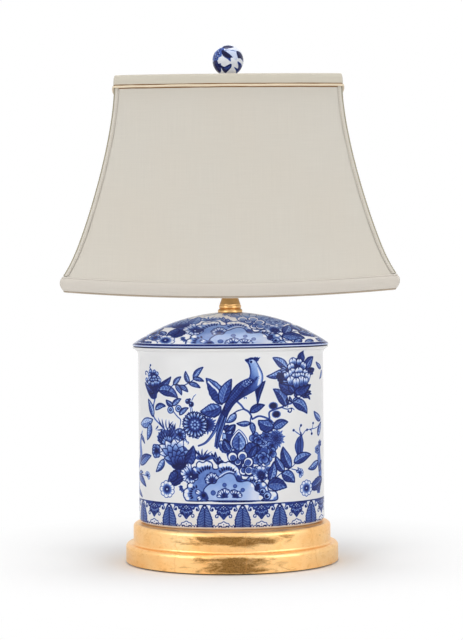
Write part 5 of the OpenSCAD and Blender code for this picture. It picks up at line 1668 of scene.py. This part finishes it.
def on_side(side, v, z, out):
    """Point of the shade's surface on side 0 to 3, a share v along it, at height z, out from the cloth."""
    v, z, out = np.broadcast_arrays(np.asarray(v, float), np.asarray(z, float), np.asarray(out, float))
    cx = TOP_W / 2 + FLARE / 2 * bell(z) + curl(z) + out
    cy = TOP_D / 2 + FLARE_D / 2 * bell(z) + curl(z) + out
    c = 2 * v - 1
    belly = 1 - c * c
    bow = BOW_TOP + (1 - BOW_TOP) * down(z)
    if side % 2 == 0:
        along, away = c * cx, cy + BOW_LONG * bow * belly
        height = z - DIP_LONG * down(z) ** 2 * belly
    else:
        along, away = c * cy, cx + BOW_SHORT * bow * belly
        height = z - DIP_SHORT * down(z) ** 2 * belly
    x, y = ((along, -away), (away, along), (-along, away), (-away, -along))[side]
    return np.stack([x, y, height], axis=-1)


def ring_shares():
    """Shares along a side for the points of a ring, closer together at the corners."""
    t = np.linspace(0, 1, SIDE_STEPS, endpoint=False)
    return 0.5 - 0.5 * np.cos(np.pi * t) * (1 - 0.25 * np.sin(np.pi * t) ** 2)


def ring(z, out, dz=0.0, dout=0.0):
    """A closed ring round the shade. dz and dout are small changes, for each point or for all."""
    h, o = (np.broadcast_to(v, RING_POINTS).reshape(4, SIDE_STEPS) for v in (z + dz, out + dout))
    return np.concatenate([on_side(side, ring_shares(), h[side], o[side]) for side in range(4)])


def lengths(points, axis):
    """Length run along an axis of a grid up to each of its points."""
    step = np.linalg.norm(np.diff(points, axis=axis), axis=-1)
    zero = np.zeros_like(np.take(step, [0], axis=axis))
    return np.cumsum(np.concatenate([zero, step], axis=axis), axis=axis)


def cloth_map(points):
    """Where each point of a grid lies on its flat cut, in millimetres."""
    u = lengths(points, 1)
    u = u - u[:, -1:] / 2
    v = lengths(points, 0)
    mid = v[:, v.shape[1] // 2][:, None] + 0 * v
    return np.stack([u, mid, 0 * u], axis=-1)


def flat_size(points):
    """Length, height and area of a grid laid flat, in metres."""
    u = lengths(points, 1)[:, -1]
    v = lengths(points, 0)[-1]
    a, b = points[:-1, :-1], points[:-1, 1:]
    c, d = points[1:, 1:], points[1:, :-1]
    lower, upper = (np.linalg.norm(np.cross(p - a, q - a), axis=-1) for p, q in ((b, c), (c, d)))
    area = (lower + upper) / 2
    return (float(u.max()) * MM, float(v.max()) * MM), float(area.sum()) * MM * MM


def thicken(piece, name, thickness, offset):
    """Makes a sheet thick: with offset -1 all of it lies inside, with 0 half on each side."""
    thick = piece.modifiers.new(name, "SOLIDIFY")
    thick.thickness = thickness * MM
    thick.offset = offset


def make_panel(side):
    """One panel of cloth over its stiff backing, a hair slack between the wires."""
    v = np.linspace(0, 1, 61)
    low, high = HEM_Z + 1.5, TOP_WIRE_Z
    k = np.linspace(0, 1, 71)
    z = low + (high - low) * k ** 1.25
    vv, zz = np.meshgrid(v, z)
    r = np.random.default_rng(20 + side)
    slack = np.zeros_like(vv)
    for _ in range(5):
        a, b = r.uniform(1, 4), r.uniform(0.5, 2.5)
        wave = np.sin(a * math.pi * vv + r.uniform(0, 6))
        slack += wave * np.sin(b * math.pi * k[:, None] + r.uniform(0, 6))
    pull = np.exp(-np.minimum(vv, 1 - vv) / 0.035)
    ripple = 0.10 * pull * np.sin(zz / 7.5 + 3 * np.sin(zz / 31 + side))
    edge = np.sin(math.pi * vv) * np.sin(math.pi * k[:, None])
    points = on_side(side, vv, zz, -0.12 + 0.09 * slack * edge + ripple)
    piece = grid_piece("panel_" + SIDES[side], points, "shade", "shade_cloth",
                       maps={"weave": cloth_map(points) + np.array([31.0 * side, 17.0 * side, 0])},
                       replaces=["shade_cover"])
    thicken(piece, "backing", COVER_T - 0.15, -1)
    return piece, points


def swept(name, section, slot, replaces, wobble, material):
    """A closed section of [height, out] points carried round the shade, changed by wobble(height)."""
    points = np.stack([ring(z, out, *wobble(z)) for z, out in section])
    along = lengths(np.concatenate([points[:1], points[:1, :1]], axis=1), 1)[0][:-1]
    across = lengths(points[:, :1], 0)[:, 0]
    weave = np.stack(np.broadcast_arrays(along, across[:, None], 0.0), axis=-1)
    index = np.arange(len(section) * RING_POINTS).reshape(-1, RING_POINTS)
    faces = quads(np.concatenate([index, index[:1]])).reshape(-1, 4)
    return mesh_piece(name, points.reshape(-1, 3), faces, "shade", slot, replaces,
                      maps={"weave": weave.reshape(-1, 3)}, materials=[material])


panels = [make_panel(side) for side in range(4)]

# Unevenness of the bands and welts along the ring, from slow to quick
SWAY = smoothed(0.6, 3, RING_POINTS, 3, 26)
SWAY_2 = smoothed(0.5, 5, RING_POINTS, 6, 40)
SWAY_3 = smoothed(0.4, 9, RING_POINTS, 10, 60)


def rounded(points):
    """A closed section with its corners rounded off by cutting them twice (Chaikin)."""
    p = np.asarray(points, float)
    for _ in range(2):
        q = np.roll(p, -1, axis=0)
        p = np.stack([0.75 * p + 0.25 * q, 0.25 * p + 0.75 * q], axis=1).reshape(-1, 2)
    return p.tolist()


TAPE, GAP = 0.8, 0.2                # thickness of a band, and its gap to the cover
BAND_OUT = GAP + TAPE
INSIDE = -LINING_IN - 0.6
BAND = cloth("band_cloth", rgb(199, 193, 179))
HEM = cloth("hem_cloth", rgb(202, 196, 187))
WELT = cloth("welt_cloth", rgb(222, 206, 180), 0.42, 0.04, 0.4)
# Brown cloth for the painted shadow lines beside the top welt
WELT_SHADOW = cloth("welt_shadow_cloth", rgb(132, 96, 54), 0.42, 0.08, 0.6)
HEM_EDGE = cloth("edge_cloth", rgb(170, 154, 134), 0.42, 0.06, 0.5)
# Darker cloth on the outer face of each corner tape's fold: a painted shade along the shade's corners
FOLD_SHADE = cloth("painted_fold_shade_cloth", rgb(146, 140, 118), 0.42, 0.06, 0.5)
top_band = swept("top_band", rounded([
    [BAND_LOW, GAP - 0.15], [BAND_LOW - 0.1, BAND_OUT - 0.1], [BAND_LOW + 3.5, BAND_OUT + 0.06],
    [SHADE_TOP - 3.2, BAND_OUT], [SHADE_TOP - 0.3, BAND_OUT - 0.7], [SHADE_TOP, -WIRE_IN + 0.8],
    [SHADE_TOP - 0.1, INSIDE + 1.4], [SHADE_TOP - 1.6, INSIDE + 0.1], [SHADE_TOP - 8.5, INSIDE - 0.1],
    [SHADE_TOP - 8.8, INSIDE + 0.5], [SHADE_TOP - 1.9, INSIDE + 0.9], [SHADE_TOP - 1.2, -WIRE_IN + 0.5],
    [SHADE_TOP - 3.4, GAP]
]), "shade_cloth", ["shade_top_band"], lambda z: (0.12 * SWAY, 0.05 * SWAY_2), BAND)


def hem_profile():
    """Section of the band folded round the hem: its outer face, its fold inside and back up the cover."""
    z = [HEM_TOP, ROLL_Z, HEM_Z + 9.5, HEM_Z + 6.5, HEM_Z + 3.4, HEM_Z + 1.2]
    outer = [[h, BAND_OUT + (0.12 if 0 < k < 4 else -0.1)] for k, h in enumerate(z)]
    low = HEM_Z - TAPE
    inside = [[low + 0.25, BAND_OUT - 1.2], [low, -1.2], [low, -LINING_IN + 0.4],
              [low + 1.2, -LINING_IN - 0.6], [HEM_Z + 8.5, -LINING_IN - 0.75],
              [HEM_Z + 8.6, -LINING_IN - 0.15], [HEM_Z + 1.2, -LINING_IN + 0.1],
              [HEM_Z + 0.1, -LINING_IN + 0.9], [HEM_Z, -0.8]]
    back = [[h, GAP - 0.1] for h in z[::-1][1:]]
    return rounded(outer + inside + back)


def hem_wobble(z):
    """The hem band waves more the higher it is, up to 5 mm."""
    return 0.25 * SWAY_2 * min(1, max(0, (z - HEM_Z) / 5)), 0.07 * SWAY_3


def tube_section(z, out, r):
    """The round section of a cord of radius r."""
    turns = [2 * math.pi * k / 12 for k in range(12)]
    return [[z - r * math.cos(a), out + r * math.sin(a)] for a in turns]


TOP_WELT_Z, HEM_WELT_Z = BAND_LOW - 1.4, HEM_TOP + 0.3
hem_band = swept("hem_band", hem_profile(), "shade_cloth", ["shade_hem_band"], hem_wobble, HEM)
top_welt = swept("top_welt", tube_section(TOP_WELT_Z, GAP + 1.05, 1.12), "piping_cloth", ["shade_top_piping"],
                 lambda z: (0.3 * SWAY_2 + (z - TOP_WELT_Z) * 0.14 * SWAY_3, 0.05 * SWAY), WELT)
hem_welt = swept("hem_welt", tube_section(HEM_WELT_Z, GAP + 0.5, 0.66), "shade_cloth", ["shade_hem_piping"],
                 lambda z: (0.12 * SWAY + (z - HEM_WELT_Z) * 0.1 * SWAY_3, 0.04 * SWAY_2), HEM)


def dark_strip(name, z, half, out, seed, material):
    """A thin strip of darker cloth round the shade, its edges waved along its length. By the top welt it is
    painted shade: the shadow lines on either side of the welt.
    """
    lift = smoothed(0.4, seed, RING_POINTS, 8, 70)
    section = [[z - half, out], [z - half, out + 0.35], [z + half, out + 0.35], [z + half, out]]
    return swept(name, section, "piping_cloth", [],
                 lambda h: (0.16 * lift * (1 if h > z else -1), 0.0), material)


# Painted shadow lines: a brown strip under the top welt, showing above and below it, and one along the band's
# lower edge
top_welt_shadow = dark_strip("top_welt_shadow", TOP_WELT_Z - 0.05, 2.0, GAP - 0.2, 31, WELT_SHADOW)
band_edge_shadow = dark_strip("band_edge_shadow", BAND_LOW + 0.2, 0.42, BAND_OUT - 0.28, 33, WELT_SHADOW)
hem_edge = dark_strip("hem_edge", HEM_Z + 0.35, 0.55, BAND_OUT - 0.35, 37, HEM_EDGE)


def make_lining():
    """The lining between the wires, gathered most at mid height."""
    low, high = HEM_Z + WIRE + 2, TOP_WIRE_Z - WIRE / 2 - 1.4
    gather = smoothed(0.2, 12, RING_POINTS, 30, 79)
    rows = []
    for share in np.linspace(0, 1, 46):
        depth = 0.18 * gather * (0.35 + 0.65 * math.sin(math.pi * share)) - 0.1
        rows.append(ring(low + (high - low) * share ** 1.2, -LINING_IN - 0.3, dout=depth))
    points = np.stack(rows)
    closed = np.concatenate([points, points[:, :1]], axis=1)
    piece = grid_piece("lining", points, "shade", "lining_cloth", closed=True,
                       maps={"weave": cloth_map(closed)[:, :-1]}, replaces=["shade_lining"], flip=True)
    thicken(piece, "weight", 0.3, 0)
    return piece, closed


lining, lining_points = make_lining()


def corner_point(sx, sy, z, a, b):
    """A point at a corner: a is how far in along X, b how far in along Y, from the sharp edge."""
    cx = TOP_W / 2 + FLARE / 2 * bell(z) + curl(z)
    cy = TOP_D / 2 + FLARE_D / 2 * bell(z) + curl(z)
    return np.stack([sx * (cx + a), sy * (cy + b), z + 0 * a], axis=-1)


def make_tapes():
    """Four sewn corner tapes, each bent over its rib and stitched along both edges."""
    w, t = 3.5, BAND_OUT - 0.05
    lean_x, lean_y = 4 * BOW_LONG * w / TOP_W, 4 * BOW_SHORT * w / TOP_D
    section = np.array(rounded([
        [GAP - 0.2, GAP - 0.2], [-w, GAP - 0.2 + lean_x], [-w - 0.1, GAP + 0.3 + lean_x],
        [-w + 0.7, t + lean_x], [t - 1.0, t + 0.05], [t - 0.05, t - 0.15], [t + 0.05, t - 1.0],
        [t + lean_y, -w + 0.7], [GAP + 0.3 + lean_y, -w - 0.1], [GAP - 0.2 + lean_y, -w]]))
    low, high = HEM_TOP + 1.4, BAND_LOW - 2.2
    heights = low + (high - low) * np.linspace(0, 1, 60) ** 1.3
    tapes, stitches, picks = ([], []), ([], []), []
    # faces on the tape's outer fold take the darker cloth, a painted shade
    fold = (np.minimum(section[:, 0], section[:, 1]) > t - 1.25).astype(int)
    for sx, sy in ((-1, -1), (-1, 1), (1, -1), (1, 1)):
        wave = 0.1 * np.sin(heights / 5.1 + sx + 2 * sy) + 0.07 * np.sin(heights / 2.3 + 5 * sx * sy)
        points = np.stack([corner_point(sx, sy, z, section[:, 0] + d, section[:, 1] + d * 0.6)
                           for z, d in zip(heights, wave * 0.4)])
        index = numbered(points, tapes)
        tapes[1].extend(quads(index, flip=sx * sy > 0).reshape(-1, 4).tolist())
        ends = (index[0].tolist(), index[-1][::-1].tolist())
        tapes[1].extend(e if sx * sy > 0 else e[::-1] for e in ends)
        picks.extend(np.tile(fold, len(heights) - 1).tolist() + [0, 0])
        tapes[0].append(points.reshape(-1, 3))
        for a, b in ((-w + 0.9, t + lean_x * 0.86), (t + lean_y * 0.86, -w + 0.9)):
            track = np.stack([corner_point(sx, sy, z, np.array(a), np.array(b)) for z in heights])
            run = lengths(track[:, None], 0)[:, 0]
            for start in np.arange(1.0, run[-1] - 2, 2.5):
                stitch(stitches, *(np.array([np.interp(start + e, run, track[:, q]) for q in range(3)])
                                   for e in (0, 1.7)))
    points, threads = np.concatenate(tapes[0]), np.concatenate(stitches[0])
    piece = mesh_piece("corner_tapes", points, tapes[1], "shade", "shade_cloth", ["shade_corner_tapes"],
                       maps={"weave": points[:, [0, 2, 1]]}, materials=[MATERIALS["shade_cloth"], FOLD_SHADE],
                       picks=picks)
    thread = mesh_piece("corner_stitches", threads, stitches[1], "shade", "piping_cloth",
                        materials=[HEM_EDGE], maps={"weave": threads})
    return piece, thread


def numbered(points, store):
    """Numbers for the points of a grid that is added to a store of points and faces."""
    return np.arange(points.size // 3).reshape(points.shape[:2]) + sum(len(p) for p in store[0])


def stitch(store, start, end):
    """A short rounded thread between two points."""
    r, sides = 0.16, 6
    run = end - start
    length = np.linalg.norm(run)
    run = run / length
    side = np.cross(run, [0.3, 0.5, 0.8])
    side /= np.linalg.norm(side)
    up = np.cross(run, side)
    points = []
    for share, wide in ((0, 0.3), (0.18, 1), (0.82, 1), (1, 0.3)):
        middle = start + run * length * share
        points.append([middle + r * wide * (side * math.cos(angle) + up * math.sin(angle))
                       for angle in np.arange(sides) * 2 * math.pi / sides])
    index = numbered(np.array(points), store)
    store[0].append(np.array(points).reshape(-1, 3))
    store[1].extend(quads(index).reshape(-1, 4).tolist() + [index[0][::-1].tolist(), index[-1].tolist()])


corner_tapes, corner_stitches = make_tapes()

for side, (piece, points) in enumerate(panels):
    size, area = flat_size(points)
size, area = flat_size(lining_points)


# Felt under the base

def make_felt():
    """The felt pad, an oval plate with a slightly fuzzy edge."""
    w, d = 213, 164
    turns = np.linspace(0, 2 * math.pi, 240, endpoint=False)
    fuzz = 0.25 * smoothed(0.1, 44, 240, 20, 119)
    rows = []
    for share, z in ((0.02, 0), (0.5, 0), (0.94, 0), (0.994, 0.05), (1, 0.5), (1, 1.1), (0.997, 1.5),
                     (0.9, 1.5), (0.02, 1.5)):
        grow = share + (fuzz / w if share > 0.99 else 0) - 0.0015
        x, y = w / 2 * grow * np.cos(turns), d / 2 * grow * np.sin(turns)
        rows.append(np.stack([x, y, z + 0 * turns], axis=-1))
    points = np.stack(rows)
    index = np.arange(points.size // 3).reshape(points.shape[:2])
    faces = quads(index).reshape(-1, 4).tolist() + [index[0][::-1].tolist(), index[-1].tolist()]
    piece = mesh_piece("felt_pad", points.reshape(-1, 3), faces, "lamp", "felt", ["base_felt"])
    return piece


make_felt()


# Studio: white floor, bright sides and backdrop, a dimmer room behind the camera

WORLD_LEVEL = 0.8
ROOM_STOPS = ((0.02, 0.40), (0.12, 0.62), (1.0, 1.0))   # grey of the room from the front to the back


def make_world():
    """White wherever it is seen. What it lights with is a room, dimmer towards the camera's side."""
    world = bpy.data.worlds.new("studio")
    bpy.context.scene.world = world
    g = Graph(world)
    depth = g.axis(g.node("ShaderNodeTexCoord").outputs["Generated"], 1)
    grey = g.ramp(g.span(depth, -1, 1), [(at, (level, level, level)) for at, level in ROOM_STOPS])
    room = g.node("ShaderNodeBackground", {"Color": grey, "Strength": WORLD_LEVEL})
    white = g.node("ShaderNodeBackground", {"Color": (1, 1, 1, 1), "Strength": 1.0})
    both = g.node("ShaderNodeMixShader", {0: g.seen(), 1: room, 2: white})
    g.node("ShaderNodeOutputWorld", {"Surface": both})


def area_light(name, spot, target, size, watts):
    """A softbox at a spot, turned to a target."""
    data = bpy.data.lights.new(name, "AREA")
    data.shape = "RECTANGLE"
    data.size, data.size_y = size
    data.energy = watts
    lamp = bpy.data.objects.new(name, data)
    bpy.context.scene.collection.objects.link(lamp)
    lamp.location = spot
    aim = [t - s for t, s in zip(target, spot)]
    lamp.rotation_euler = Vector(aim).to_track_quat("-Z", "Y").to_euler()


def make_floor():
    """A wide white floor, which shows the lamp's shadow only close to it."""
    r = 6.0
    mesh = bpy.data.meshes.new("floor")
    mesh.from_pydata([(-r, -r, 0), (r, -r, 0), (r, r, 0), (-r, r, 0)], [], [(0, 1, 2, 3)])
    floor = bpy.data.objects.new("floor", mesh)
    bpy.context.scene.collection.objects.link(floor)
    s = Shader("floor_paper", base_color=(0.93, 0.93, 0.93), roughness=0.9, specular_ior_level=0.1)
    white = s.node("ShaderNodeEmission", {"Color": (1, 1, 1, 1), "Strength": 1.0})
    seen = s.seen()
    away = s.node("ShaderNodeVectorMath", {0: s.coords()}, operation="LENGTH").outputs["Value"]
    fade = s.times(seen, s.span(away, 0.12, 0.34))
    both = s.node("ShaderNodeMixShader", {0: fade, 1: s.bsdf.outputs[0], 2: white.outputs[0]})
    s.put(s.out.inputs["Surface"], both.outputs[0])
    mesh.materials.append(s.mat)


make_world()
make_floor()
area_light("softbox_left", (-1.15, -1.15, 0.62), (0, 0, 0.25), (0.9, 1.1), 8.2)
area_light("softbox_right", (1.15, -1.15, 0.62), (0, 0, 0.25), (0.9, 1.1), 7.6)
area_light("softbox_top", (0, -0.1, 1.8), (0, 0, 0.3), (0.8, 0.7), 10)
